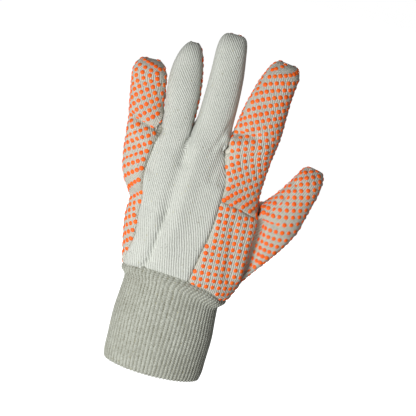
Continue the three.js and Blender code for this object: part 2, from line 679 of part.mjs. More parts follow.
// Angles that divide a rounded outline into steps of even length
function evenAngles(count, wide, deep, square) {
  const samples = 20 * count;
  const at = (i) => {
    const [x, y] = outline((2 * Math.PI * i) / samples, square);
    return new THREE.Vector2((x * wide) / 2, (y * deep) / 2);
  };
  const lengths = [0];
  for (let i = 1; i <= samples; i += 1) lengths.push(lengths[i - 1] + at(i).distanceTo(at(i - 1)));
  const angles = [];
  let sample = 0;
  for (let i = 0; i < count; i += 1) {
    const wanted = (lengths[samples] * i) / count;
    while (lengths[sample + 1] < wanted) sample += 1;
    const share = (wanted - lengths[sample]) / (lengths[sample + 1] - lengths[sample]);
    angles.push((2 * Math.PI * (sample + share)) / samples);
  }
  return angles;
}

// Knit cuff: a ribbed tube whose top ring is the hand's own outline at the seam
function makeCuff() {
  const columns = 2 * RIB_COUNT;
  const angles = evenAngles(columns, CUFF_WIDTH, CUFF_DEPTH, CUFF_SQUARE);
  const skin = [];
  const patch = [];
  CUFF.forEach((row, level) => {
    for (let column = 0; column < columns; column += 1) {
      const angle = angles[column];
      const seam = handPoint(angle, seamHeight(handPoint(angle, SEAM_Z).x));
      const [x, y] = outline(angle, mix(HAND_SQUARE, CUFF_SQUARE, row.at));
      const own = new THREE.Vector3((x * row.wide * CUFF_WIDTH) / 2, (y * row.deep * CUFF_DEPTH) / 2, 0);
      own.z = seam.z * (1 - row.at);
      const point = own.lerp(seam.clone().setZ(own.z), 1 - ease(row.at / CUFF[2].at));
      const outward = new THREE.Vector3(x * CUFF_DEPTH, y * CUFF_WIDTH, 0).normalize();
      const rib = (column % 2 ? -0.5 : 0.5) * row.rib * RIB_HEIGHT;
      skin.push(point.addScaledVector(outward, rib));
      if (level === 0) continue;
      const next = (column + 1) % columns;
      const upper = (level - 1) * columns;
      const lower = level * columns;
      patch.push({ corners: [lower + column, lower + next, upper + next, upper + column] });
    }
  });
  const rim = new Set(Array.from({ length: columns }, (_, i) => i));
  return makeWall(skin, skinNormals(skin, patch), patch, KNIT_WALL, rim);
}

function makePanel(panel) {
  const patch = faces.filter((face) => face.panel === panel);
  return makeWall(points, skinNormals(points, faces), patch, CLOTH, new Set(hand[0]));
}

const glove = new THREE.Group();
const cloth = {
  knit_cuff: { geometry: makeCuff(), color: 0xc9c8ba, roughness: 0.95 },
  back_panel: { geometry: makePanel('back_panel'), color: 0xd0d0c4, roughness: 0.93 },
  palm_panel: { geometry: makePanel('palm_panel'), color: 0xe89a72, roughness: 0.85 },
  thumb_panel: { geometry: makePanel('thumb_panel'), color: 0xe89a72, roughness: 0.85 },
  thumb_front: { geometry: makePanel('thumb_front'), color: 0xe89a72, roughness: 0.85 },
};

for (const [name, { geometry, color, roughness }] of Object.entries(cloth)) {
  const material = new THREE.MeshStandardMaterial({ color, roughness, metalness: 0 });
  const mesh = new THREE.Mesh(geometry, material);
  mesh.name = name;
  glove.add(mesh);
}

export default glove;
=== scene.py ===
"""A left-hand cotton work glove in the form that it has when worn.

Everything is in metres in the frame of the glove's solids: the origin is the middle of the cuff's
mouth, +Z runs to the fingertips, -Y is the back of the hand and +X is towards the thumb.
"""

import logging
import math
from collections import defaultdict
from dataclasses import dataclass
from enum import Enum
from typing import Callable, Sequence

import bpy
import numpy as np
from mathutils import Matrix, Vector
from mathutils.kdtree import KDTree


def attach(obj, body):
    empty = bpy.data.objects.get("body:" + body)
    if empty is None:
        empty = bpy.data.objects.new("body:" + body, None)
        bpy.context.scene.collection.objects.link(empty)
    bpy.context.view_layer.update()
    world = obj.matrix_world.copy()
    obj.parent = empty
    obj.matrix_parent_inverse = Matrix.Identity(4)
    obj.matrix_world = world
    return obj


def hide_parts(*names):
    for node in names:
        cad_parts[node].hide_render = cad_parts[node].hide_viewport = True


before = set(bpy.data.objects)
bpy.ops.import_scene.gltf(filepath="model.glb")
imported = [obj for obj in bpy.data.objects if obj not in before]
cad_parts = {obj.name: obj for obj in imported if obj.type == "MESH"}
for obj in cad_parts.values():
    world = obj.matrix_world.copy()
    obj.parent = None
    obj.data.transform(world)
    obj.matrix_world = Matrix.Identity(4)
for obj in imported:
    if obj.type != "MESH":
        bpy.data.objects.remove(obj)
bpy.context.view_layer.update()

LOG = logging.getLogger("glove")
BODY = "root"

Flat = tuple[float, float]
Colour = tuple[float, float, float, float]
Values = np.ndarray | float
Input = bpy.types.NodeSocket | bpy.types.Material | float | tuple[float, ...]
Group = tuple["Graph", bpy.types.Node, bpy.types.Node]


class Panel(Enum):
    """The pieces of cloth that the hand is sewn from, by the names of their solids."""

    BACK = "back_panel"
    PALM = "palm_panel"
    THUMB = "thumb_panel"
    FRONT = "thumb_front"


class Sheet(Enum):
    """The flat patterns that the cloth's weave and dots follow."""

    BACK = "back"
    PALM = "palm"
    HAND_SIDE = "hand side"
    THUMB_BACK = "thumb back"
    THUMB_FRONT = "thumb front"


PANELS = list(Panel)
SHEETS = list(Sheet)


@dataclass(frozen=True)
class GloveSizes:
    """The glove's driving sizes, in metres, as its solids have them."""

    cuff_length: float = 0.073
    cuff_width: float = 0.075
    cuff_depth: float = 0.047
    hand_length: float = 0.092
    hand_width: float = 0.096
    hand_depth: float = 0.040
    little_length: float = 0.0546
    ring_length: float = 0.0740
    middle_length: float = 0.0870
    index_length: float = 0.0760
    finger_depth: float = 0.022
    finger_tip: float = 0.009
    thumb_length: float = 0.070
    thumb_width: float = 0.028
    thumb_depth: float = 0.025
    thumb_tip: float = 0.009
    wrist_spread: float = 1.28
    wrist_reach: float = 0.3
    thumb_root: float = 0.33
    fold_depth: float = 0.003
    hand_square: float = 2.3
    finger_square: float = 2.4
    cuff_square: float = 2.0
    finger_blend: float = 0.28
    thumb_blend: float = 0.38
    corner: float = 38.0
    tip_line: float = 0.55

    @property
    def root_z(self) -> float:
        """Height of the finger roots."""
        return self.cuff_length + self.hand_length


@dataclass(frozen=True)
class GridSizes:
    """How finely the glove's cage is divided before it is subdivided."""

    finger_columns: int = 5
    side_columns: int = 3
    thumb_palm_columns: int = 3
    finger_rings: int = 12
    thumb_rings: int = 10
    tip_angles: tuple[float, ...] = (28, 54, 76)
    smoothing_rounds: int = 3
    smoothing: float = 0.5
    subdivisions: int = 2
    rows: tuple[float, ...] = (0, 0.05, 0.10, 0.16, 0.22, 0.28, 0.335, 0.39, 0.445, 0.50, 0.56, 0.615,
                               0.67, 0.725, 0.78, 0.83, 0.88, 0.94, 1)
    thumb_first_row: int = 3
    thumb_last_row: int = 12

    @property
    def back_columns(self) -> int:
        """Columns across the back of the hand."""
        return 4 * self.finger_columns

    @property
    def palm_start(self) -> int:
        """The first column of the palm."""
        return self.back_columns + self.side_columns

    @property
    def columns(self) -> int:
        """Columns all round the hand."""
        return 2 * self.palm_start

    @property
    def thumb_end(self) -> int:
        """The palm column where the thumb's root ends."""
        return self.palm_start + self.thumb_palm_columns

    @property
    def thumb_split(self) -> int:
        """The column where the cloth of the thumb's back meets that of its front."""
        return self.back_columns + (self.thumb_end - self.back_columns) // 2


class Table:
    """Rows of named columns, read on a smooth curve through them."""

    def __init__(self, columns: str, *rows: tuple[float, ...]) -> None:
        """Keeps the rows by column.

        Args:
            columns: names of the columns, the first of them `at`.
            rows: one tuple of values for each row.
        """
        self.columns = dict(zip(columns.split(), np.array(rows, float).T))
        places = self.columns["at"]
        self.slopes = {name: np.diff(values) / np.diff(places) for name, values in self.columns.items()}

    def read(self, column: str, at: float) -> float:
        """Reads one column at any place between its rows.

        Args:
            column: name of the column.
            at: the place, in the units of the column `at`.

        Returns:
            The value on the smooth curve.
        """
        places, values, slopes = self.columns["at"], self.columns[column], self.slopes[column]
        last = len(places) - 2
        row = min(max(int(np.searchsorted(places, at)) - 1, 0), last)
        width = places[row + 1] - places[row]
        t = min(max((at - places[row]) / width, 0.0), 1.0)
        start = (slopes[max(row - 1, 0)] + slopes[row]) / 2 * width
        end = (slopes[row] + slopes[min(row + 1, last)]) / 2 * width
        rise = values[row] * (1 + 2 * t) * (1 - t) ** 2 + values[row + 1] * t * t * (3 - 2 * t)
        return float(rise + start * t * (1 - t) ** 2 - end * t * t * (1 - t))


HAND = Table(
    "at left right back palm",
    (-0.12, -0.412, 0.425, 0.55, 0.55),
    (0.00, -0.425, 0.476, 0.54, 0.56),
    (0.10, -0.444, 0.510, 0.52, 0.57),
    (0.25, -0.474, 0.510, 0.49, 0.57),
    (0.40, -0.490, 0.508, 0.47, 0.55),
    (0.52, -0.486, 0.506, 0.45, 0.51),
    (0.60, -0.541, 0.491, 0.44, 0.48),
    (0.72, -0.594, 0.468, 0.42, 0.43),
    (0.87, -0.622, 0.465, 0.39, 0.36),
    (1.00, -0.640, 0.474, 0.34, 0.30),
)

LINES = Table(
    "at little_ring ring_middle middle_index palm_little_ring palm_ring_middle palm_middle_index",
    (-0.12, -0.410, -0.170, 0.100, -0.300, -0.130, 0.100),
    (0.01, -0.418, -0.165, 0.104, -0.310, -0.130, 0.100),
    (0.10, -0.410, -0.160, 0.115, -0.320, -0.135, 0.105),
    (0.22, -0.378, -0.160, 0.132, -0.330, -0.140, 0.110),
    (0.41, -0.391, -0.160, 0.169, -0.345, -0.145, 0.115),
    (0.57, -0.400, -0.160, 0.180, -0.360, -0.150, 0.120),
    (0.72, -0.420, -0.160, 0.188, -0.375, -0.155, 0.125),
    (0.85, -0.415, -0.161, 0.180, -0.385, -0.158, 0.128),
    (1.00, -0.392, -0.160, 0.132, -0.392, -0.160, 0.132),
)

CORNERS = Table(
    "at left_back right_back right_palm left_palm",
    (-0.12, 172, -14, 24, 140),
    (0.15, 176, -13, 26, 142),
    (0.70, 190, -13, 26, 150),
    (1.00, 204, -24, 24, 156),
)

SEAM_RISE = Table(
    "at rise",
    (-0.44, -0.035),
    (-0.23, 0.024),
    (0.00, 0.022),
    (0.12, 0.006),
    (0.30, -0.050),
    (0.44, -0.130),
)

LITTLE = Table(
    "at left right deep curl",
    (0.00, -0.640, -0.393, 0.92, -0.05),
    (0.20, -0.646, -0.390, 0.90, -0.02),
    (0.40, -0.665, -0.402, 0.88, 0.03),
    (0.60, -0.684, -0.415, 0.88, 0.10),
    (0.75, -0.699, -0.432, 0.85, 0.17),
    (0.87, -0.704, -0.450, 0.82, 0.24),
    (1.00, -0.690, -0.482, 0.75, 0.32),
)

RING = Table(
    "at left right deep curl",
    (0.00, -0.387, -0.162, 1.04, -0.05),
    (0.15, -0.386, -0.158, 1.02, -0.04),
    (0.35, -0.404, -0.156, 1.00, 0.00),
    (0.50, -0.418, -0.160, 0.98, 0.05),
    (0.62, -0.426, -0.170, 0.95, 0.11),
    (0.75, -0.422, -0.190, 0.90, 0.19),
    (0.87, -0.402, -0.213, 0.84, 0.27),
    (1.00, -0.362, -0.250, 0.75, 0.36),
)

MIDDLE = Table(
    "at left right deep curl",
    (0.00, -0.156, 0.128, 1.08, -0.05),
    (0.15, -0.146, 0.130, 1.06, -0.05),
    (0.35, -0.140, 0.131, 1.04, -0.02),
    (0.50, -0.136, 0.128, 1.00, 0.03),
    (0.70, -0.136, 0.115, 0.95, 0.12),
    (0.88, -0.138, 0.089, 0.86, 0.25),
    (1.00, -0.122, 0.077, 0.76, 0.34),
)

INDEX = Table(
    "at left right deep curl",
    (0.00, 0.136, 0.482, 1.06, -0.05),
    (0.15, 0.140, 0.488, 1.05, -0.04),
    (0.30, 0.149, 0.499, 1.04, 0.00),
    (0.50, 0.174, 0.500, 1.00, 0.06),
    (0.65, 0.203, 0.501, 0.96, 0.12),
    (0.80, 0.238, 0.508, 0.90, 0.21),
    (0.90, 0.272, 0.519, 0.85, 0.28),
    (1.00, 0.298, 0.518, 0.76, 0.35),
)

THUMB = Table(
    "at out up to_palm wide deep",
    (0.00, 0.530, 0.00, 0.08, 1.80, 1.16),
    (0.30, 0.628, 0.30, 0.12, 1.38, 1.08),
    (0.50, 0.688, 0.49, 0.15, 1.08, 1.00),
    (0.70, 0.745, 0.66, 0.18, 0.89, 0.92),
    (0.85, 0.786, 0.80, 0.21, 0.77, 0.84),
    (0.93, 0.804, 0.89, 0.23, 0.71, 0.78),
    (1.00, 0.818, 0.99, 0.25, 0.66, 0.72),
)

# How wide and deep the cuff is, shares of its sizes, from the seam down, with the rib's share
CUFF = Table(
    "at wide deep rib",
    (0.000, 1.060, 0.94, 0.5),
    (0.025, 1.046, 0.98, 0.8),
    (0.050, 1.026, 0.99, 1.0),
    (0.075, 1.000, 0.97, 1.0),
    (0.100, 0.974, 0.93, 1.0),
    (0.125, 0.964, 0.91, 1.0),
    (0.170, 0.966, 0.91, 1.0),
    (0.280, 0.980, 0.94, 1.0),
    (0.500, 1.010, 0.99, 1.0),
    (0.780, 1.000, 1.00, 1.0),
    (0.950, 0.990, 1.00, 1.0),
    (1.000, 0.970, 0.98, 0.9),
)

# Height of the finger roots across the hand on its back and palm, shares of the hand's length, with
# the rise of the web between two fingers
ROOTS_BACK = (0.93, 1.02, 0.99, 1.02, 0.96)
ROOTS_PALM = (0.90, 0.98, 0.98, 1.00, 0.95)
WEBS = (0.0, 0.20, 0.19, 0.10, 0.0)


@dataclass(frozen=True)
class Finger:
    """A finger: its sections, the name of its length, the slope of its tip and its seams.

    `back` is how many columns of its left and right sides the back's cloth covers, and None where
    that cloth stops at the finger.
    """

    sections: Table
    length: str
    slope: float
    back: tuple[int, int] | None


# The fingers from the little one
FINGERS = (
    Finger(LITTLE, "little_length", 0.05, None),
    Finger(RING, "ring_length", 0.0, (2, 1)),
    Finger(MIDDLE, "middle_length", 0.0, (2, 2)),
    Finger(INDEX, "index_length", -0.12, None),
)


def ease(share: Values) -> Values:
    """A smooth step from 0 to 1 as the share goes from 0 to 1."""
    t = np.clip(share, 0, 1)
    return t * t * (3 - 2 * t)


def mix(a: Values, b: Values, share: Values) -> Values:
    """The value a share of the way from a to b."""
    return a + (b - a) * share


def outline(angle: Values, square: float) -> tuple[Values, Values]:
    """Points of a rounded box outline of half size 1.

    Args:
        angle: the angle from +X, in radians, or many of them.
        square: 2 for an ellipse, more for a boxier outline.

    Returns:
        The two coordinates.
    """
    power = 2 / square
    x, y = np.cos(angle), np.sin(angle)
    return np.sign(x) * abs(x) ** power, np.sign(y) * abs(y) ** power


@dataclass(frozen=True)
class Ring:
    """One ring of a finger or thumb: its share of the length, and what its rounding leaves."""

    at: float
    deep: float
    wide: float


@dataclass(frozen=True)
class Strip:
    """A run of a tube's columns that is one piece of cloth.

    Columns are counted on past the last one, so that a run may cross the first. `across` is the flat
    place of the middle column, and `sense` is 1 where the flat place grows with the column.
    """

    panel: Panel
    sheet: Sheet
    first: int
    last: int
    middle: int
    sense: int
    across: float


@dataclass(frozen=True)
class HandShape:
    """The skin of the hand as a function of angle and height.

    `line_reach` is how near a line may come to the hand's side, as a share of its half width.
    """

    sizes: GloveSizes
    grid: GridSizes
    line_reach: float = 0.985

    def width(self, at: Values) -> Values:
        """The width that the hand's shares are of, at a share of its length above the cuff seam."""
        s = self.sizes
        return mix(s.cuff_width * s.wrist_spread, s.hand_width, ease(np.asarray(at) / s.wrist_reach))

    def point(self, angle: float, z: float) -> np.ndarray:
        """The skin at an angle and a height.

        Args:
            angle: the angle from +X through the palm, in radians.
            z: the height.

        Returns:
            The point.
        """
        at = (z - self.sizes.cuff_length) / self.sizes.hand_length
        x, y = outline(angle, self.sizes.hand_square)
        deep = HAND.read("back" if y < 0 else "palm", at) * self.sizes.hand_depth
        across = mix(HAND.read("left", at), HAND.read("right", at), (x + 1) / 2)
        return np.array((across * float(self.width(at)), y * deep, z))

    def line_angle(self, line: str, at: float, side: int) -> float:
        """The angle at which a line of the hand crosses its outline.

        Args:
            line: a column of the table of lines.
            at: a share of the hand's length above the cuff seam.
            side: -1 on the back, 1 on the palm.

        Returns:
            The angle in radians.
        """
        left, right = HAND.read("left", at), HAND.read("right", at)
        x = (2 * LINES.read(line, at) - left - right) / (right - left)
        share = min(max(x, -self.line_reach), self.line_reach)
        return side * math.acos(math.copysign(abs(share) ** (self.sizes.hand_square / 2), share))

    def key_of(self, column: int) -> tuple[int, float]:
        """Which stretch between two key columns a column lies in, and how far along it.

        Args:
            column: the column.

        Returns:
            The number of the stretch and the share of the way along it.
        """
        grid = self.grid
        if column < grid.back_columns:
            return column // grid.finger_columns, (column % grid.finger_columns) / grid.finger_columns
        if column < grid.palm_start:
            return 4, (column - grid.back_columns) / grid.side_columns
        palm = column - grid.palm_start
        if palm < grid.back_columns:
            return 5 + palm // grid.finger_columns, (palm % grid.finger_columns) / grid.finger_columns
        return 9, (palm - grid.back_columns) / grid.side_columns

    def column_angle(self, column: int, at: float) -> float:
        """The angle of a column of the hand's grid at a height.

        Args:
            column: the column, from the little finger's side across the back.
            at: a share of the hand's length above the cuff seam.

        Returns:
            The angle in radians.
        """
        keys = [
            math.radians(CORNERS.read("left_back", at)) - 2 * math.pi,
            self.line_angle("little_ring", at, -1),
            self.line_angle("ring_middle", at, -1),
            self.line_angle("middle_index", at, -1),
            math.radians(CORNERS.read("right_back", at)),
            math.radians(CORNERS.read("right_palm", at)),
            self.line_angle("palm_middle_index", at, 1),
            self.line_angle("palm_ring_middle", at, 1),
            self.line_angle("palm_little_ring", at, 1),
            math.radians(CORNERS.read("left_palm", at)),
            math.radians(CORNERS.read("left_back", at)),
        ]
        key, share = self.key_of(column)
        return mix(keys[key], keys[key + 1], share)

    def seam_height(self, x: float) -> float:
        """The height of the cuff seam at a place across the hand."""
        rise = SEAM_RISE.read("rise", x / float(self.width(0)))
        return self.sizes.cuff_length * (1 + rise)

    def root_height(self, column: int) -> float:
        """The height of the finger roots at a column.

        Args:
            column: the column.

        Returns:
            The height.
        """
        heights = (*ROOTS_BACK, *reversed(ROOTS_PALM))
        key, share = self.key_of(column)
        rise = mix(heights[key], heights[(key + 1) % len(heights)], share)
        return self.sizes.cuff_length + self.sizes.hand_length * rise


@dataclass
class Skin:
    """The glove's outer skin as quads, with the flat place of each corner on its sheet."""

    points: np.ndarray
    quads: np.ndarray
    flat: np.ndarray
    panels: np.ndarray
    sheets: np.ndarray

    def normals(self) -> np.ndarray:
        """The outward direction at each point.

        Returns:
            One direction of length 1 for each point.
        """
        a, b, c, d = (self.points[self.quads[:, i]] for i in range(4))
        faces = np.cross(c - a, d - b)
        total = np.zeros_like(self.points)
        for i in range(4):
            np.add.at(total, self.quads[:, i], faces)
        return total / np.linalg.norm(total, axis=1, keepdims=True)

    def seam_edges(self) -> dict[tuple[int, int], set[int]]:
        """The edges on any seam, the cuff's among them, each with the numbers of its panels.

        Returns:
            The numbers of the panels by the two ends of each edge.
        """
        sides = defaultdict(list)
        for quad, panel in zip(self.quads.tolist(), self.panels.tolist()):
            for a, b in zip(quad, (*quad[1:], quad[0])):
                sides[(a, b) if a < b else (b, a)].append(panel)
        return {edge: set(panels) for edge, panels in sides.items()
                if len(panels) == 1 or len(set(panels)) > 1}

    def seam_points(self) -> np.ndarray:
        """The numbers of the points on any seam."""
        return np.array(sorted({point for edge in self.seam_edges() for point in edge}))


class GloveCage:
    """The coarse skin of the hand, fingers and thumb, which is then subdivided."""

    def __init__(self, sizes: GloveSizes, grid: GridSizes) -> None:
        """Builds the whole cage.

        Args:
            sizes: the glove's driving sizes.
            grid: how finely it is divided.
        """
        self.sizes = sizes
        self.grid = grid
        self.shape = HandShape(sizes, grid)
        self.points: list[np.ndarray] = []
        self.faces: list[tuple[int, ...]] = []
        self.flat: list[tuple[Flat, ...]] = []
        self.panels: list[Panel] = []
        self.sheets: list[Sheet] = []
        self.hand = self.make_hand()
        self.webs = [self.make_web(key) for key in (1, 2, 3)]
        for finger in range(len(FINGERS)):
            self.grow_finger(finger)
        self.grow_thumb()
        self.smooth()

    def add_point(self, point: np.ndarray) -> int:
        """Adds a point and gives its number."""
        self.points.append(point)
        return len(self.points) - 1

    def add_face(self, panel: Panel, sheet: Sheet, corners: Sequence[int], flat: Sequence[Flat]) -> None:
        """Adds a face, leaving out corners that fall together.

        Args:
            panel: the piece of cloth that it belongs to.
            sheet: the flat pattern that its weave follows.
            corners: its points, counter-clockwise from outside.
            flat: the flat place of each corner.
        """
        kept = [i for i, corner in enumerate(corners) if corner not in corners[:i]]
        if len(kept) < 3:
            return
        self.faces.append(tuple(corners[i] for i in kept))
        self.flat.append(tuple(flat[i] for i in kept))
        self.panels.append(panel)
        self.sheets.append(sheet)

    def in_window(self, row: int, column: int) -> bool:
        """Whether a face of the hand's grid lies in the thumb's window."""
        grid = self.grid
        in_rows = grid.thumb_first_row <= row < grid.thumb_last_row
        return in_rows and grid.back_columns <= column < grid.thumb_end

    def hand_cloth(self, row: int, column: int) -> tuple[Panel, Sheet]:
        """The piece of cloth and the sheet of a face of the hand's grid.

        Args:
            row: its row.
            column: its column.

        Returns:
            The panel and the sheet.
        """
        grid = self.grid
        if grid.finger_columns <= column < 3 * grid.finger_columns:
            return Panel.BACK, Sheet.BACK
        beside = 3 * grid.finger_columns <= column < grid.back_columns and row < grid.thumb_last_row
        below = grid.back_columns <= column < grid.thumb_split and row < grid.thumb_first_row
        return (Panel.THUMB, Sheet.HAND_SIDE) if beside or below else (Panel.PALM, Sheet.PALM)

    def unroll(self, ring: Sequence[int], columns: Sequence[int], start: float,
               sense: int) -> dict[int, float]:
        """Lays part of a ring of the hand out flat.

        Args:
            ring: the ring's points, less than nothing where there is none.
            columns: the columns to walk, one step apart, counted on past the last.
            start: the flat place of the first one.
            sense: 1 where the flat place grows along the walk.

        Returns:
            The flat place of each column that the walk reaches.
        """
        places = {columns[0]: start}
        for before, after in zip(columns, columns[1:]):
            a, b = ring[before % len(ring)], ring[after % len(ring)]
            if b < 0:
                break
            step = float(np.linalg.norm((self.points[b] - self.points[a])[:2]))
            places[after] = places[before] + sense * step
        return places

    def hand_sheets(self, ring: Sequence[int]) -> dict[Sheet, dict[int, float]]:
        """The flat places across the hand of one ring's columns, for each sheet.

        Args:
            ring: the ring's points, less than nothing where there is none.

        Returns:
            For each sheet, the flat place of each column on it.
        """
        grid = self.grid
        fingers = grid.finger_columns
        middle = grid.palm_start + 2 * fingers

        def across(column: int) -> float:
            """The place of a column across the hand."""
            return float(self.points[ring[column]][0])

        back = self.unroll(ring, range(2 * fingers, fingers - 1, -1), across(2 * fingers), -1)
        back |= self.unroll(ring, range(2 * fingers, 3 * fingers + 1), across(2 * fingers), 1)
        palm = self.unroll(ring, range(middle, 3 * fingers - 1, -1), across(middle), 1)
        palm |= self.unroll(ring, range(middle, grid.columns + fingers + 1), across(middle), -1)
        side = self.unroll(ring, range(3 * fingers, grid.thumb_split + 1), across(3 * fingers), 1)
        return {Sheet.BACK: back, Sheet.PALM: palm, Sheet.HAND_SIDE: side}

    def make_hand(self) -> list[list[int]]:
        """Adds the hand's grid, with a window for the thumb, and gives its rows of points.

        Returns:
            The numbers of the points, row by row, -1 inside the window.
        """
        sizes, grid, shape = self.sizes, self.grid, self.shape
        rows = []
        for row, share in enumerate(grid.rows):
            ring = []
            for column in range(grid.columns):
                if self.in_window(row, column) and self.in_window(row - 1, column - 1):
                    ring.append(-1)
                    continue
                low = shape.seam_height(shape.point(shape.column_angle(column, 0), sizes.cuff_length)[0])
                z = mix(low, shape.root_height(column), share)
                at = (z - sizes.cuff_length) / sizes.hand_length
                ring.append(self.add_point(shape.point(shape.column_angle(column, at), z)))
            rows.append(ring)
        self.row_sheets = [self.hand_sheets(ring) for ring in rows]
        for row in range(len(rows) - 1):
            for column in range(grid.columns):
                if not self.in_window(row, column):
                    self.add_hand_face(rows, row, column)
        return rows

    def add_hand_face(self, rows: list[list[int]], row: int, column: int) -> None:
        """Adds one face of the hand's grid.

        Args:
            rows: the grid's rows of points.
            row: its row.
            column: its column.
        """
        after = (column + 1) % self.grid.columns
        panel, sheet = self.hand_cloth(row, column)
        wraps = sheet is Sheet.PALM and column < self.grid.finger_columns
        flat_column = column + self.grid.columns if wraps else column
        corners = ((row, column, 0), (row, after, 1), (row + 1, after, 1), (row + 1, column, 0))
        points = [rows[r][c] for r, c, _ in corners]
        flat = [(self.row_sheets[r][sheet][flat_column + step], float(self.points[rows[r][c]][2]))
                for r, c, step in corners]
        self.add_face(panel, sheet, points, flat)

    def palm_column(self, key: int) -> int:
        """The palm column of one of the five lines between the fingers."""
        return self.grid.palm_start + (4 - key) * self.grid.finger_columns

    def make_web(self, key: int) -> list[int]:
        """The web between two fingers: an arch over the hand from its back to its palm.

        Args:
            key: the line between the fingers, 1 beside the little one.

        Returns:
            The numbers of its points.
        """
        top = self.hand[-1]
        start = self.points[top[key * self.grid.finger_columns]]
        end = self.points[top[self.palm_column(key)]]
        web = []
        for step in range(1, self.grid.side_columns):
            angle = math.pi * step / self.grid.side_columns
            point = start + (end - start) * (1 - math.cos(angle)) / 2
            point[2] += WEBS[key] * self.sizes.hand_length * math.sin(angle)
            web.append(self.add_point(point))
        return web

    def finger_root(self, finger: int) -> list[int]:
        """The closed line of skin that a finger grows from.

        Args:
            finger: the finger, 0 for the little one.

        Returns:
            The numbers of its points, from the back's first one round.
        """
        grid, top = self.grid, self.hand[-1]
        spread = grid.side_columns - 1

        def run(start: int, count: int) -> list[int]:
            """A stretch of the hand's top edge."""
            return [top[(start + i) % grid.columns] for i in range(count)]

        right = self.webs[finger] if finger < 3 else run(grid.back_columns + 1, spread)
        left = self.webs[finger - 1][::-1] if finger > 0 else run(self.palm_column(0) + 1, spread)
        back = run(finger * grid.finger_columns, grid.finger_columns + 1)
        palm = run(self.palm_column(finger + 1), grid.finger_columns + 1)
        return [*back, *right, *palm, *left]

    def loop_angles(self, broad: int, narrow: int) -> list[float]:
        """The angles of a tube's columns, from the back's first corner round.

        Args:
            broad: columns across the back and across the front.
            narrow: columns down each side.

        Returns:
            The angles in radians.
        """
        corner = self.sizes.corner
        angle = 180 + corner
        angles = []
        for steps, span in ((broad, 180 - 2 * corner), (narrow, 2 * corner)) * 2:
            angles += [math.radians(angle + span * i / steps) for i in range(steps)]
            angle += span
        return angles

    def tube_rings(self, length: float, tip: float, count: int) -> list[Ring]:
        """The rings of a tube: body rings, then the rings of its rounded tip.

        Args:
            length: its length.
            tip: length of the rounded tip.
            count: how many body rings it has.

        Returns:
            The rings from the root.
        """
        body = 1 - tip / length
        rings = [Ring(body * (i + 1) / count, 1, 1) for i in range(count)]
        for degrees in (*self.grid.tip_angles, 90):
            rise, left = math.sin(math.radians(degrees)), math.cos(math.radians(degrees))
            wide = mix(self.sizes.tip_line, 1, left)
            rings.append(Ring(body + (1 - body) * rise, left, wide))
        return rings

    def grow_tube(self, root: list[int], rings: list[Ring], broad: int, narrow: int,
                  place: Callable[[Ring, int], np.ndarray], strips: Sequence[Strip]) -> None:
        """Adds a tube from a root, which closes on a line where its back meets its front.

        Args:
            root: the points that it grows from.
            rings: its rings.
            broad: columns across the back and across the front.
            narrow: columns down each side.
            place: gives the point of a ring and a column.
            strips: the pieces of cloth round it.
        """
        count = len(root)
        levels = [root]
        for ring in rings[:-1]:
            levels.append([self.add_point(place(ring, i)) for i in range(count)])
        line = [self.add_point(place(rings[-1], i)) for i in range(broad + 1)]
        closing = [*line, *[line[-1]] * (narrow - 1), *reversed(line), *[line[0]] * (narrow - 1)]
        levels.append(closing)
        flats = self.unroll_tube(levels, strips)
        for lower, upper, low, high in zip(levels, levels[1:], flats, flats[1:]):
            for number, strip in enumerate(strips):
                for k in range(strip.first, strip.last):
                    i, j = k % count, (k + 1) % count
                    flat = (low[number][k], low[number][k + 1], high[number][k + 1], high[number][k])
                    self.add_face(strip.panel, strip.sheet, (lower[i], lower[j], upper[j], upper[i]), flat)

    def unroll_tube(self, levels: list[list[int]], strips: Sequence[Strip]) -> list[list[dict[int, Flat]]]:
        """Lays a tube's strips out flat, along its axis and round it.

        Args:
            levels: the points of each ring, the root first.
            strips: the pieces of cloth round it.

        Returns:
            For each ring and strip, the flat place of each column.
        """
        rings = [np.array([self.points[i] for i in level]) for level in levels]
        centres = [ring.mean(0) for ring in rings]
        height = float(centres[0][2])
        flats = []
        last = len(rings) - 2
        for level, ring in enumerate(rings):
            ahead = centres[min(level + 1, last)] - centres[max(min(level, last) - 1, 0)]
            axis = np.array((0.0, 0.0, 1.0)) if level == 0 and strips[0].sense < 0 else ahead
            axis = axis / np.linalg.norm(axis)
            if level:
                height += float(np.linalg.norm(ring - rings[level - 1], axis=1).mean())
            along = height + (ring - centres[level]) @ axis
            flats.append([self.unroll_strip(ring, along, strip) for strip in strips])
        return flats

    def unroll_strip(self, ring: np.ndarray, along: np.ndarray, strip: Strip) -> dict[int, Flat]:
        """The flat places of one strip's columns on one ring.

        Args:
            ring: the ring's points.
            along: how far along the tube each of them is.
            strip: the piece of cloth.

        Returns:
            The flat place of each of its columns.
        """
        count = len(ring)
        across = {strip.middle: strip.across}
        for step, end in ((1, strip.last), (-1, strip.first)):
            for k in range(strip.middle, end, step):
                a, b = k % count, (k + step) % count
                rise = along[b] - along[a]
                gap = math.sqrt(max(float(((ring[b] - ring[a]) ** 2).sum()) - rise ** 2, 0))
                across[k + step] = across[k] + step * strip.sense * gap
        return {k: (u, float(along[k % count])) for k, u in across.items()}

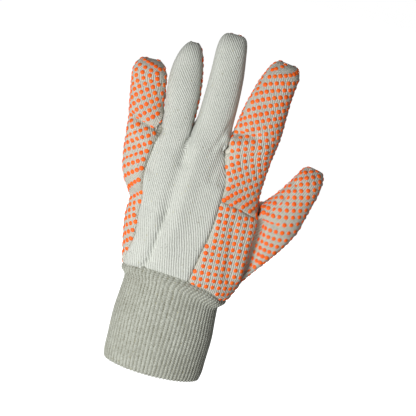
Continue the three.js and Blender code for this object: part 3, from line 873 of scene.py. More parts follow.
    def finger_strips(self, finger: int) -> list[Strip]:
        """The one or two pieces of cloth round a finger.

        Args:
            finger: the finger, 0 for the little one.

        Returns:
            Their strips.
        """
        broad, narrow = self.grid.finger_columns, self.grid.side_columns
        middle = broad + narrow + broad // 2
        count = 2 * (broad + narrow)
        column = self.palm_column(finger + 1) + broad // 2
        across = self.row_sheets[-1][Sheet.PALM][column]
        if FINGERS[finger].back is None:
            first = broad if finger == 0 else 0
            return [Strip(Panel.PALM, Sheet.PALM, first, first + count, middle, -1, across)]
        left, right = FINGERS[finger].back
        back = self.row_sheets[-1][Sheet.BACK][finger * broad + broad // 2]
        front = Strip(Panel.PALM, Sheet.PALM, broad + right, count - left, middle, -1, across)
        return [front, Strip(Panel.BACK, Sheet.BACK, -left, broad + right, broad // 2, 1, back)]

    def grow_finger(self, finger: int) -> None:
        """Adds one finger.

        Args:
            finger: the finger, 0 for the little one.
        """
        sizes, grid = self.sizes, self.grid
        sections, slope = FINGERS[finger].sections, FINGERS[finger].slope
        length = getattr(sizes, FINGERS[finger].length)
        root = self.finger_root(finger)
        start = [self.points[i].copy() for i in root]
        angles = self.loop_angles(grid.finger_columns, grid.side_columns)

        def middle(at: float) -> float:
            """The middle of the finger across the hand."""
            return (sections.read("left", at) + sections.read("right", at)) / 2 * sizes.hand_width

        def place(ring: Ring, i: int) -> np.ndarray:
            """The point of a ring and a column, led over from the root.

            Args:
                ring: the ring.
                i: the column.

            Returns:
                The point.
            """
            half = (sections.read("right", ring.at) - sections.read("left", ring.at)) / 2
            x, y = outline(angles[i], sizes.finger_square)
            across = x * half * ring.wide * sizes.hand_width
            curl = sections.read("curl", ring.at)
            deep = sections.read("deep", ring.at) * ring.deep / 2
            own = np.array((middle(ring.at) + across, (curl + y * deep) * sizes.finger_depth,
                            sizes.root_z + ring.at * length + slope * across * ring.at))
            grown = start[i] + np.array((middle(ring.at) - middle(0),
                                         (curl - sections.read("curl", 0)) * sizes.finger_depth,
                                         ring.at * length))
            blend = sizes.finger_blend * sizes.hand_width
            return mix(grown, own, float(ease(ring.at * length / blend)))

        rings = self.tube_rings(length, sizes.finger_tip, grid.finger_rings)
        strips = self.finger_strips(finger)
        self.grow_tube(root, rings, grid.finger_columns, grid.side_columns, place, strips)

    def thumb_ring(self) -> list[int]:
        """The edge of the thumb's window: down its back, along the bottom, up the front and back.

        Returns:
            The numbers of its points.
        """
        grid, hand = self.grid, self.hand
        first, last = grid.thumb_first_row, grid.thumb_last_row
        root = [hand[row][grid.back_columns] for row in range(last, first, -1)]
        root += [hand[first][column] for column in range(grid.back_columns, grid.thumb_end)]
        root += [hand[row][grid.thumb_end] for row in range(first, last)]
        root += [hand[last][column] for column in range(grid.thumb_end, grid.back_columns, -1)]
        return root

    def thumb_axis(self, at: float) -> np.ndarray:
        """The middle of the thumb at a share of its length.

        Args:
            at: the share.

        Returns:
            The point.
        """
        sizes = self.sizes
        height = sizes.cuff_length + sizes.thumb_root * sizes.hand_length
        return np.array((
            THUMB.read("out", at) * sizes.hand_width,
            THUMB.read("to_palm", at) * sizes.hand_depth,
            height + THUMB.read("up", at) * sizes.thumb_length))

    def grow_thumb(self) -> None:
        """Adds the thumb."""
        sizes, grid = self.sizes, self.grid
        root = self.thumb_ring()
        start = [self.points[i].copy() for i in root]
        broad = grid.thumb_last_row - grid.thumb_first_row
        narrow = grid.thumb_end - grid.back_columns
        angles = self.loop_angles(broad, narrow)
        step = 0.02

        def place(ring: Ring, i: int) -> np.ndarray:
            """The point of a ring and a column, led over from the window.

            Args:
                ring: the ring.
                i: the column.

            Returns:
                The point.
            """
            centre = self.thumb_axis(ring.at)
            forward = self.thumb_axis(min(ring.at + step, 1)) - self.thumb_axis(max(ring.at - step, 0))
            palmward = np.array((0.0, 1.0, 0.0))
            outward = np.cross(palmward, forward)
            outward /= np.linalg.norm(outward)
            x, y = outline(angles[i], sizes.finger_square)
            wide = THUMB.read("wide", ring.at) * ring.wide * sizes.thumb_width / 2
            deep = THUMB.read("deep", ring.at) * ring.deep * sizes.thumb_depth / 2
            own = centre + x * wide * outward + y * deep * palmward
            travelled = centre - self.thumb_axis(0)
            blend = sizes.thumb_blend * sizes.hand_width
            return mix(start[i] + travelled, own, float(ease(np.linalg.norm(travelled) / blend)))

        low = broad + grid.thumb_split - grid.back_columns
        high = len(root) - (grid.thumb_split - grid.back_columns)
        strips = (
            Strip(Panel.THUMB, Sheet.THUMB_BACK, high - len(root), low, broad // 2, 1, 0.0),
            Strip(Panel.FRONT, Sheet.THUMB_FRONT, low, high, broad + narrow + broad // 2, 1, 0.0),
        )
        rings = self.tube_rings(sizes.thumb_length, sizes.thumb_tip, grid.thumb_rings)
        self.grow_tube(root, rings, broad, narrow, place, strips)

    def smooth(self) -> None:
        """Rounds the joins of the skin, leaving the cuff seam where it is."""
        pairs = {frozenset((a, b)) for face in self.faces for a, b in zip(face, (*face[1:], face[0]))}
        a, b = np.array([tuple(pair) for pair in pairs]).T
        points = np.array(self.points)
        counts = np.bincount(np.concatenate((a, b)), minlength=len(points))[:, None]
        free = np.ones((len(points), 1))
        free[self.hand[0]] = 0
        for amount in (self.grid.smoothing, -self.grid.smoothing) * self.grid.smoothing_rounds:
            total = np.zeros_like(points)
            np.add.at(total, a, points[b])
            np.add.at(total, b, points[a])
            points = points + free * amount * (total / counts - points)
        self.points = list(points)

    def subdivide(self) -> Skin:
        """Subdivides the cage twice over, set so that the fine skin passes through its points."""
        points = np.array(self.points)
        rough = self.subdivided(points)
        return self.subdivided(2 * points - rough.points[:len(points)])

    def subdivided(self, points: np.ndarray) -> Skin:
        """The fine skin of the cage with its points where they are given.

        Args:
            points: the cage's points.

        Returns:
            The fine skin.
        """
        mesh = bpy.data.meshes.new("cage")
        mesh.from_pydata(points.tolist(), [], self.faces)
        layer = mesh.uv_layers.new(name="flat")
        layer.data.foreach_set("uv", [value for face in self.flat for pair in face for value in pair])
        for name, values in (("panel", [PANELS.index(p) for p in self.panels]),
                             ("sheet", [SHEETS.index(s) for s in self.sheets])):
            mesh.attributes.new(name, "INT", "FACE").data.foreach_set("value", values)
        cage = bpy.data.objects.new("cage", mesh)
        bpy.context.scene.collection.objects.link(cage)
        subdivision = cage.modifiers.new("subdivision", "SUBSURF")
        subdivision.levels = subdivision.render_levels = self.grid.subdivisions
        fine = bpy.data.meshes.new_from_object(cage.evaluated_get(bpy.context.evaluated_depsgraph_get()))
        count = len(fine.polygons)
        skin = Skin(
            points=read_values(fine.vertices, "co", 3),
            quads=read_values(fine.polygons, "vertices", 4, int),
            flat=read_values(fine.uv_layers["flat"].data, "uv", 2).reshape(count, 4, 2),
            panels=read_values(fine.attributes["panel"].data, "value", 1, int).ravel(),
            sheets=read_values(fine.attributes["sheet"].data, "value", 1, int).ravel(),
        )
        bpy.data.objects.remove(cage)
        bpy.data.meshes.remove(mesh)
        bpy.data.meshes.remove(fine)
        return skin


def read_values(items: bpy.types.bpy_prop_collection, name: str, width: int,
                kind: type = float) -> np.ndarray:
    """Reads one property of many mesh elements.

    Args:
        items: the elements.
        name: the property.
        width: how many numbers each element holds.
        kind: float or int.

    Returns:
        One row for each element.
    """
    values = np.empty(len(items) * width, kind)
    items.foreach_get(name, values)
    return values.reshape(-1, width)


@dataclass(frozen=True)
class Fold:
    """A fold of the cloth: a line across the back, how wide it is and how high it stands.

    The line's ends are a share of the hand's width across and of its length above the cuff seam, the
    width is a share of the hand's width and the height of the fold depth, negative for a valley.
    """

    start: Flat
    end: Flat
    wide: float
    high: float


# The folds that the solids have too, softer here where the photograph's are
MAIN_FOLDS = {
    "tuck ridge": Fold((-0.235, 0.50), (-0.300, 0.02), 0.050, 0.5),
    "tuck valley": Fold((-0.165, 0.56), (-0.235, 0.02), 0.040, -0.12),
    "long valley": Fold((-0.162, 1.00), (-0.185, 0.46), 0.050, -0.7),
    "long ridge": Fold((-0.060, 1.02), (-0.110, 0.20), 0.070, 0.5),
    "little and ring valley": Fold((-0.400, 0.80), (-0.388, 1.10), 0.045, -0.9),
    "ring and middle valley": Fold((-0.160, 0.90), (-0.158, 1.08), 0.035, -0.6),
    "middle and index valley": Fold((0.160, 0.84), (0.130, 1.08), 0.040, -0.8),
    "middle crease": Fold((0.110, 1.12), (0.080, 0.84), 0.035, -0.5),
    "index crease": Fold((0.150, 1.22), (0.310, 1.24), 0.030, -0.8),
    "index roll": Fold((0.170, 1.14), (0.400, 1.15), 0.045, 0.6),
    "little crease": Fold((-0.610, 1.14), (-0.410, 1.09), 0.030, -0.8),
    "little roll": Fold((-0.610, 1.04), (-0.430, 0.99), 0.045, 0.6),
    "side pinch": Fold((-0.510, 0.53), (-0.440, 0.55), 0.035, -0.5),
    "thumb crease": Fold((0.530, 0.10), (0.530, 0.58), 0.035, -1.0),
    "thumb lip": Fold((0.470, 0.12), (0.480, 0.60), 0.040, 0.6),
    "panel valley": Fold((0.330, 0.52), (0.390, 0.10), 0.035, -0.4),
}

# Thin creases and puckers
FINE_FOLDS = {
    "tuck line": Fold((-0.178, 0.50), (-0.218, 0.09), 0.011, -0.65),
    "tuck gather": Fold((-0.218, 0.09), (-0.252, 0.03), 0.013, -0.7),
    "side wrinkle": Fold((-0.375, 0.50), (-0.290, 0.49), 0.014, -0.3),
    "middle crease": Fold((0.121, 1.29), (0.033, 1.05), 0.020, -0.45),
    "index line": Fold((0.150, 1.235), (0.310, 1.255), 0.014, -0.6),
    "little line": Fold((-0.610, 1.14), (-0.410, 1.09), 0.014, -0.6),
    "little pucker low": Fold((-0.600, 0.80), (-0.470, 0.92), 0.016, -0.35),
    "little pucker middle": Fold((-0.560, 0.92), (-0.440, 1.03), 0.016, -0.4),
    "little pucker high": Fold((-0.620, 0.98), (-0.520, 1.07), 0.016, -0.35),
    "thumb base line": Fold((0.520, 0.60), (0.640, 0.60), 0.014, -0.6),
    "thumb seam low": Fold((0.560, 0.66), (0.652, 0.818), 0.013, -0.45),
    "thumb seam middle": Fold((0.652, 0.818), (0.700, 0.941), 0.013, -0.45),
    "thumb seam high": Fold((0.700, 0.941), (0.773, 1.07), 0.013, -0.45),
    "thumb fold edge": Fold((0.528, 0.58), (0.515, 0.09), 0.016, -0.6),
}


@dataclass(frozen=True)
class Tailor:
    """Shapes the fine skin, which it changes: folds, seam grooves, and how the weave and dots lie.

    `facing` is how fast a fold fades towards the palm. The turn of the back's weave and the gather of
    the dotted cloth each have their places on the flat cloth, the reach over which they set in, and
    how strong they are, as slopes.
    """

    skin: Skin
    shape: HandShape
    facing: float = 1.5
    groove_wide: float = 0.0013
    groove_deep: float = 0.0013
    turn: float = 0.51
    turn_height: float = 0.120
    turn_reach: float = 0.012
    gather_height: float = 0.182
    gather_left: float = -0.058
    gather_right: float = 0.072
    gather_reach: float = 0.004
    gather_along: float = 0.11
    gather_across: float = 0.13

    def shares(self) -> tuple[np.ndarray, np.ndarray]:
        """Each point's place across and up the hand, as shares."""
        sizes = self.shape.sizes
        up = (self.skin.points[:, 2] - sizes.cuff_length) / sizes.hand_length
        return self.skin.points[:, 0] / self.shape.width(up), up

    def press(self, folds: Sequence[Fold]) -> None:
        """Presses folds into the side that faces -Y.

        Args:
            folds: the folds.
        """
        normals = self.skin.normals()
        facing = ease(-normals[:, 1] * self.facing)
        x, up = self.shares()
        depth = np.zeros(len(x))
        for fold in folds:
            run = np.subtract(fold.end, fold.start)
            along = (x - fold.start[0]) * run[0] + (up - fold.start[1]) * run[1]
            share = np.clip(along / (run @ run), 0, 1)
            away = np.hypot(x - fold.start[0] - share * run[0], up - fold.start[1] - share * run[1])
            depth += fold.high * np.exp(-(away / fold.wide) ** 2)
        self.skin.points += normals * (facing * depth * self.shape.sizes.fold_depth)[:, None]

    def turn_weave(self) -> None:
        """Turns the weave of the back's cloth towards the cuff, where the cloth is drawn askew."""
        chosen = self.skin.sheets == SHEETS.index(Sheet.BACK)
        below = (self.turn_height - self.skin.flat[chosen][:, :, 1]) / self.turn_reach
        self.skin.flat[chosen, :, 0] += self.turn * self.turn_reach * np.logaddexp(0, below)

    def gather(self) -> None:
        """Gathers the dotted cloth along the fingers and towards its seams on the back."""
        chosen = self.skin.sheets == SHEETS.index(Sheet.PALM)
        across, up = np.moveaxis(self.skin.flat[chosen], 2, 0)
        reach = self.gather_reach
        left = np.logaddexp(0, (self.gather_left - across) / reach)
        right = np.logaddexp(0, (across - self.gather_right) / reach)
        above = np.logaddexp(0, (up - self.gather_height) / reach)
        self.skin.flat[chosen, :, 0] += self.gather_across * reach * (right - left)
        self.skin.flat[chosen, :, 1] += self.gather_along * reach * above

    def groove(self) -> None:
        """Draws the cloth in along its seams."""
        tree = make_tree(self.skin.points[self.skin.seam_points()])
        away = np.array([tree.find(point)[2] for point in self.skin.points])
        drop = self.groove_deep * np.exp(-(away / self.groove_wide) ** 2)
        self.skin.points -= self.skin.normals() * drop[:, None]


def new_object(name: str, mesh: bpy.types.Mesh) -> bpy.types.Object:
    """Puts a mesh in the scene as an object at the origin."""
    made = bpy.data.objects.new(name, mesh)
    bpy.context.scene.collection.objects.link(made)
    return made


class Graph:
    """Writes one node tree, node by node."""

    def __init__(self, tree: bpy.types.NodeTree) -> None:
        """Keeps the tree."""
        self.tree = tree

    def add(self, kind: str, inputs: dict[str | int, Input] | None = None,
            **settings: object) -> bpy.types.Node:
        """Adds a node.

        Args:
            kind: the node's type.
            inputs: for its sockets, by name or number, another node's output or a value.
            settings: its properties.

        Returns:
            The node.
        """
        node = self.tree.nodes.new(kind)
        for name, value in settings.items():
            setattr(node, name, value)
        for key, value in (inputs or {}).items():
            if isinstance(value, bpy.types.NodeSocket):
                self.tree.links.new(value, node.inputs[key])
            else:
                node.inputs[key].default_value = value
        return node

    def named(self, name: str, kind: str) -> bpy.types.NodeSocket:
        """The values of a mesh's named attribute."""
        return self.add("GeometryNodeInputNamedAttribute", {"Name": name}, data_type=kind).outputs[0]

    def math(self, operation: str, *values: Input) -> bpy.types.NodeSocket:
        """The result of a math node."""
        return self.add("ShaderNodeMath", dict(enumerate(values)), operation=operation).outputs[0]

    def span(self, value: Input, low: float, high: float, to_low: float = 0.0,
             to_high: float = 1.0) -> bpy.types.NodeSocket:
        """A value carried from one range to another, and held at its ends."""
        inputs = {"Value": value, "From Min": low, "From Max": high, "To Min": to_low, "To Max": to_high}
        return self.add("ShaderNodeMapRange", inputs).outputs[0]

    def blend(self, factor: Input, a: Input, b: Input) -> bpy.types.NodeSocket:
        """Two colours mixed."""
        return self.add("ShaderNodeMix", {0: factor, 6: a, 7: b}, data_type="RGBA").outputs[2]

    def wave(self, turns: Input) -> bpy.types.NodeSocket:
        """A wave from 0 to 1, at its top where the turns are whole."""
        cosine = self.math("COSINE", self.math("MULTIPLY", turns, 2 * math.pi))
        return self.math("MULTIPLY_ADD", cosine, 0.5, 0.5)

    def noise(self, place: Input, scale: float, detail: float = 2.0) -> bpy.types.NodeSocket:
        """A noise from 0 to 1 at a scale in waves for each metre."""
        inputs = {"Vector": place, "Scale": scale, "Detail": detail}
        return self.add("ShaderNodeTexNoise", inputs).outputs[0]

    def patchy(self, place: Input, scale: float, low: float, high: float) -> bpy.types.NodeSocket:
        """A noise that runs from low to high, with flat patches at both ends."""
        return self.span(self.noise(place, scale), 0.3, 0.7, low, high)

    def dress(self, geometry: Input, finish: Input) -> bpy.types.NodeSocket:
        """Geometry with its instances made real and its material set."""
        real = self.add("GeometryNodeRealizeInstances", {0: geometry})
        inputs = {"Geometry": real.outputs[0], "Material": finish}
        return self.add("GeometryNodeSetMaterial", inputs).outputs[0]


def new_group(name: str, kind: str, inputs: dict[str, str], outputs: dict[str, str]) -> Group:
    """Starts a node group.

    Args:
        name: its name.
        kind: the type of tree.
        inputs: the types of its input sockets by name.
        outputs: the types of its output sockets by name.

    Returns:
        Its graph, its input node and its output node.
    """
    tree = bpy.data.node_groups.new(name, kind)
    for in_out, sockets in (("INPUT", inputs), ("OUTPUT", outputs)):
        for socket, socket_type in sockets.items():
            tree.interface.new_socket(socket, in_out=in_out, socket_type=f"NodeSocket{socket_type}")
    graph = Graph(tree)
    return graph, graph.add("NodeGroupInput"), graph.add("NodeGroupOutput")


def run_nodes(name: str, mesh: bpy.types.Mesh, tree: bpy.types.NodeTree,
              values: dict[str, object]) -> bpy.types.Mesh:
    """Runs a Geometry Nodes tree over a mesh.

    Args:
        name: name of the new mesh.
        mesh: the mesh that goes in.
        tree: the tree.
        values: the values of its inputs by name.

    Returns:
        The plain mesh that comes out.
    """
    base = new_object(f"{name}_base", mesh)
    modifier = base.modifiers.new("nodes", "NODES")
    modifier.node_group = tree
    for item in tree.interface.items_tree:
        if item.in_out == "INPUT" and item.name in values:
            modifier[item.identifier] = values[item.name]
    depsgraph = bpy.context.evaluated_depsgraph_get()
    made = bpy.data.meshes.new_from_object(
        base.evaluated_get(depsgraph), preserve_all_data_layers=True, depsgraph=depsgraph)
    made.name = name
    bpy.data.objects.remove(base)
    bpy.data.meshes.remove(mesh)
    return made


def linear(red: int, green: int, blue: int) -> Colour:
    """A display colour of 0 to 255 as the linear colour that shaders take.

    Args:
        red: its red.
        green: its green.
        blue: its blue.

    Returns:
        The linear colour, opaque.
    """
    def channel(value: int) -> float:
        """One channel of it."""
        share = value / 255
        return share / 12.92 if share <= 0.04045 else ((share + 0.055) / 1.055) ** 2.4

    return channel(red), channel(green), channel(blue), 1.0


class Effects:
    """The shader node groups that the finishes share.

    Scales are in waves for each metre, and shares are of the ridge's height or the cells' distance.
    """

    drift_scale = 90.0
    fray_scale = 700.0
    fray = (0.5, 1.15)
    broad_scale = 55.0
    threads_per_pitch = 1.3
    bead_share = 0.35
    valley_narrowness = 1.5
    fleck_edge = 0.22
    fleck_core = 0.10
    fleck_rarity = 0.72

    def __init__(self) -> None:
        """Builds each group once."""
        self.weave = self.make_weave()
        self.flecks = self.make_flecks()

    def make_weave(self) -> bpy.types.NodeTree:
        """Slanting ridges of thread: their height and the shade of the valleys between them.

        Returns:
            The node group.
        """
        graph, given, result = new_group(
            "weave", "ShaderNodeTree",
            {"Flat": "Vector", "Pitch": "Float", "Angle": "Float", "Drift": "Float"},
            {"Height": "Float", "Valley": "Float"})
        turn = graph.math("MULTIPLY", given.outputs["Angle"], -1.0)
        turned = graph.add("ShaderNodeVectorRotate", {"Vector": given.outputs["Flat"], "Angle": turn},
                           rotation_type="Z_AXIS")
        split = graph.add("ShaderNodeSeparateXYZ", {0: turned.outputs[0]})
        drift = graph.math("SUBTRACT", graph.noise(given.outputs["Flat"], self.drift_scale), 0.5)
        across = graph.math("MULTIPLY_ADD", drift, given.outputs["Drift"], split.outputs["Y"])
        turns = graph.math("DIVIDE", across, given.outputs["Pitch"])
        ridge = graph.wave(turns)
        along = graph.math("DIVIDE", split.outputs["X"], given.outputs["Pitch"])
        half_step = graph.math("MULTIPLY", graph.math("FLOOR", turns), 0.5)
        thread = graph.wave(graph.math("MULTIPLY_ADD", along, self.threads_per_pitch, half_step))
        bead = graph.math("MULTIPLY_ADD", thread, self.bead_share, 1 - self.bead_share)
        valley = graph.math("POWER", graph.math("SUBTRACT", 1.0, ridge), self.valley_narrowness)
        uneven = graph.patchy(given.outputs["Flat"], self.fray_scale, *self.fray)
        graph.tree.links.new(graph.math("MULTIPLY", ridge, bead), result.inputs["Height"])
        graph.tree.links.new(graph.math("MULTIPLY", valley, uneven), result.inputs["Valley"])
        return graph.tree

    def make_flecks(self) -> bpy.types.NodeTree:
        """Specks of seed husk in the cotton, dark and warm, and the cloth's broad unevenness.

        Returns:
            The node group.
        """
        graph, given, result = new_group(
            "flecks", "ShaderNodeTree", {"Place": "Vector", "Spacing": "Float"},
            {"Dark": "Float", "Warm": "Float", "Shade": "Float"})
        scale = graph.math("DIVIDE", 1.0, given.outputs["Spacing"])
        cells = graph.add("ShaderNodeTexVoronoi", {"Vector": given.outputs["Place"], "Scale": scale})
        near = graph.span(cells.outputs["Distance"], self.fleck_edge, self.fleck_core)
        picks = graph.add("ShaderNodeSeparateColor", {0: cells.outputs["Color"]})
        for output, channel in (("Dark", "Red"), ("Warm", "Green")):
            chosen = graph.math("GREATER_THAN", picks.outputs[channel], self.fleck_rarity)
            graph.tree.links.new(graph.math("MULTIPLY", near, chosen), result.inputs[output])
        broad = graph.noise(given.outputs["Place"], self.broad_scale, 4.0)
        graph.tree.links.new(graph.span(broad, 0.3, 0.7), result.inputs["Shade"])
        return graph.tree


def new_material(name: str) -> tuple[bpy.types.Material, Graph, bpy.types.Node]:
    """A new material with its graph and its Principled shader.

    Args:
        name: its name.

    Returns:
        The material, its graph and its shader.
    """
    material = bpy.data.materials.new(name)
    material.use_nodes = True
    graph = Graph(material.node_tree)
    return material, graph, material.node_tree.nodes["Principled BSDF"]


def place_group(graph: Graph, group: bpy.types.NodeTree, inputs: dict[str | int, Input]) -> bpy.types.Node:
    """Places a shared effect in a material."""
    return graph.add("ShaderNodeGroup", inputs, node_tree=group)


@dataclass(frozen=True)
class Surface:
    """How a surface takes the light, as its shader's own values, and how deep its relief is."""

    roughness: float
    specular: float = 0.5
    sheen: float = 0.0
    sheen_roughness: float = 0.5
    relief: float = 0.0

    def paint(self, graph: Graph, shader: bpy.types.Node, colour: Input, height: Input = 0.0) -> None:
        """Gives a shader this surface.

        Args:
            graph: the material's graph.
            shader: its Principled shader.
            colour: the colour.
            height: the height of the relief, as a share of its depth.
        """
        graph.tree.links.new(colour, shader.inputs["Base Color"])
        for socket, value in (("Roughness", self.roughness), ("Specular IOR Level", self.specular),
                              ("Sheen Weight", self.sheen), ("Sheen Roughness", self.sheen_roughness)):
            shader.inputs[socket].default_value = value
        if self.relief:
            bump = graph.add("ShaderNodeBump", {"Height": height, "Distance": self.relief})
            graph.tree.links.new(bump.outputs[0], shader.inputs["Normal"])


@dataclass(frozen=True)
class Husk:
    """Specks of seed husk in cotton: how far apart they are, and how strong the two kinds show."""

    warm: Colour
    dark: Colour
    warm_share: float
    dark_share: float
    spacing: float = 0.0035

    def speckle(self, graph: Graph, flecks: bpy.types.Node, colour: Input) -> bpy.types.NodeSocket:
        """A colour with the specks on it.

        Args:
            graph: the material's graph.
            flecks: the placed effect that gives the specks.
            colour: the cotton's own colour.

        Returns:
            The speckled colour.
        """
        warm = graph.math("MULTIPLY", flecks.outputs["Warm"], self.warm_share)
        dark = graph.math("MULTIPLY", flecks.outputs["Dark"], self.dark_share)
        return graph.blend(dark, graph.blend(warm, colour, self.warm), self.dark)


@dataclass(frozen=True)
class ClothFinish:
    """Matt woven cotton: its colour and its weave's painted valley shade, the slant, pitch and drift of
    its weave, and its husks.
    """

    name: str
    cloth: Colour
    valley: Colour
    angle: float
    contrast: float
    pitch: float = 0.00145
    drift: float = 0.0012
    shading: float = 0.10
    surface: Surface = Surface(0.92, 0.15, 0.12, 0.6, relief=0.0004)
    husk: Husk = Husk(linear(176, 170, 110), linear(95, 96, 92), 0.35, 0.35)

    def build(self, effects: Effects) -> bpy.types.Material:
        """Builds the material.

        Args:
            effects: the shared node groups.

        Returns:
            The material.
        """
        material, graph, shader = new_material(self.name)
        flat = graph.add("ShaderNodeUVMap", uv_map="flat").outputs[0]
        place = graph.add("ShaderNodeTexCoord").outputs["Object"]
        weave = place_group(graph, effects.weave, {
            "Flat": flat, "Pitch": self.pitch, "Angle": math.radians(self.angle), "Drift": self.drift})
        flecks = place_group(graph, effects.flecks, {"Place": place, "Spacing": self.husk.spacing})
        # Painted shade: the valleys between the weave's ridges are darkened towards the valley colour, as
        # strongly as the contrast says.
        depth = graph.math("MULTIPLY", weave.outputs["Valley"], self.contrast)
        colour = graph.blend(depth, self.cloth, self.valley)
        shade = graph.math("MULTIPLY", flecks.outputs["Shade"], self.shading)
        colour = self.husk.speckle(graph, flecks, graph.blend(shade, colour, self.valley))
        self.surface.paint(graph, shader, colour, weave.outputs["Height"])
        return material


@dataclass(frozen=True)
class KnitFinish:
    """Matt rib-knitted cotton: loops down each rib and shaded dashes between the ribs."""

    name: str
    ridge: Colour
    valley: Colour
    loop: float = 0.0016
    loop_slant: float = 1.1
    loop_share: float = 0.7
    dash_share: float = 0.55
    narrowness: float = 4.0
    uneven_scale: float = 350.0
    uneven: tuple[float, float] = (0.35, 1.2)
    heather_scale: float = 900.0
    heather: float = 0.38
    worn_scale: float = 60.0
    worn: float = 0.16
    surface: Surface = Surface(0.95, 0.1, 0.15, 0.6, relief=0.00035)
    husk: Husk = Husk(linear(170, 160, 90), linear(95, 96, 90), 0.3, 0.4)

    def build(self, effects: Effects) -> bpy.types.Material:
        """Builds the material.

        Args:
            effects: the shared node groups.

        Returns:
            The material.
        """
        material, graph, shader = new_material(self.name)
        knit = graph.add("ShaderNodeSeparateXYZ", {
            0: graph.add("ShaderNodeUVMap", uv_map="knit").outputs[0]})
        place = graph.add("ShaderNodeTexCoord").outputs["Object"]
        flecks = place_group(graph, effects.flecks, {"Place": place, "Spacing": self.husk.spacing})
        around, down = knit.outputs["X"], knit.outputs["Y"]
        ridge = graph.wave(around)
        offset = graph.math("ABSOLUTE", graph.math("WRAP", around, 0.5, -0.5))
        loops = graph.math("MULTIPLY_ADD", offset, self.loop_slant, graph.math("DIVIDE", down, self.loop))
        loop = graph.wave(loops)
        looped = graph.math("MULTIPLY", loop, self.loop_share)
        height = graph.math("MULTIPLY_ADD", ridge, 1 - self.loop_share, looped)
        dash = graph.math("MULTIPLY_ADD", loop, self.dash_share, 1 - self.dash_share)
        # Painted shade: the narrow valleys between the ribs, broken into dashes by the loops, are darkened
        # towards the valley colour.
        narrow = graph.math("POWER", graph.math("SUBTRACT", 1.0, ridge), self.narrowness)
        uneven = graph.patchy(place, self.uneven_scale, *self.uneven)
        valley = graph.math("MULTIPLY", graph.math("MULTIPLY", narrow, dash), uneven)
        colour = graph.blend(valley, self.ridge, self.valley)
        heather = graph.span(graph.noise(place, self.heather_scale), 0.42, 0.62, 0.0, self.heather)
        colour = graph.blend(heather, colour, self.valley)
        worn = graph.span(graph.noise(place, self.worn_scale), 0.4, 0.7, 0.0, self.worn)
        colour = self.husk.speckle(graph, flecks, graph.blend(worn, colour, self.valley))
        self.surface.paint(graph, shader, colour, height)
        return material


@dataclass(frozen=True)
class DotFinish:
    """Satin orange PVC."""

    name: str
    orange: Colour
    deep: Colour
    patch_scale: float = 160.0
    grain_scale: float = 1500.0
    surface: Surface = Surface(0.5, 0.25, relief=0.00005)

    def build(self) -> bpy.types.Material:
        """Builds the material.

        Returns:
            The material.
        """
        material, graph, shader = new_material(self.name)
        place = graph.add("ShaderNodeTexCoord").outputs["Object"]
        patches = graph.span(graph.noise(place, self.patch_scale, 3.0), 0.35, 0.75)
        colour = graph.blend(patches, self.orange, self.deep)
        self.surface.paint(graph, shader, colour, graph.noise(place, self.grain_scale))
        return material


@dataclass(frozen=True)
class ThreadFinish:
    """Matt cotton sewing thread with a twist."""

    name: str
    thread: Colour
    shade: Colour
    twist_scale: float = 900.0
    surface: Surface = Surface(0.9)

    def build(self) -> bpy.types.Material:
        """Builds the material.

        Returns:
            The material.
        """
        material, graph, shader = new_material(self.name)
        place = graph.add("ShaderNodeTexCoord").outputs["Object"]
        twist = graph.span(graph.noise(place, self.twist_scale), 0.35, 0.65)
        colour = graph.blend(twist, self.thread, self.shade)
        self.surface.paint(graph, shader, colour)
        return material


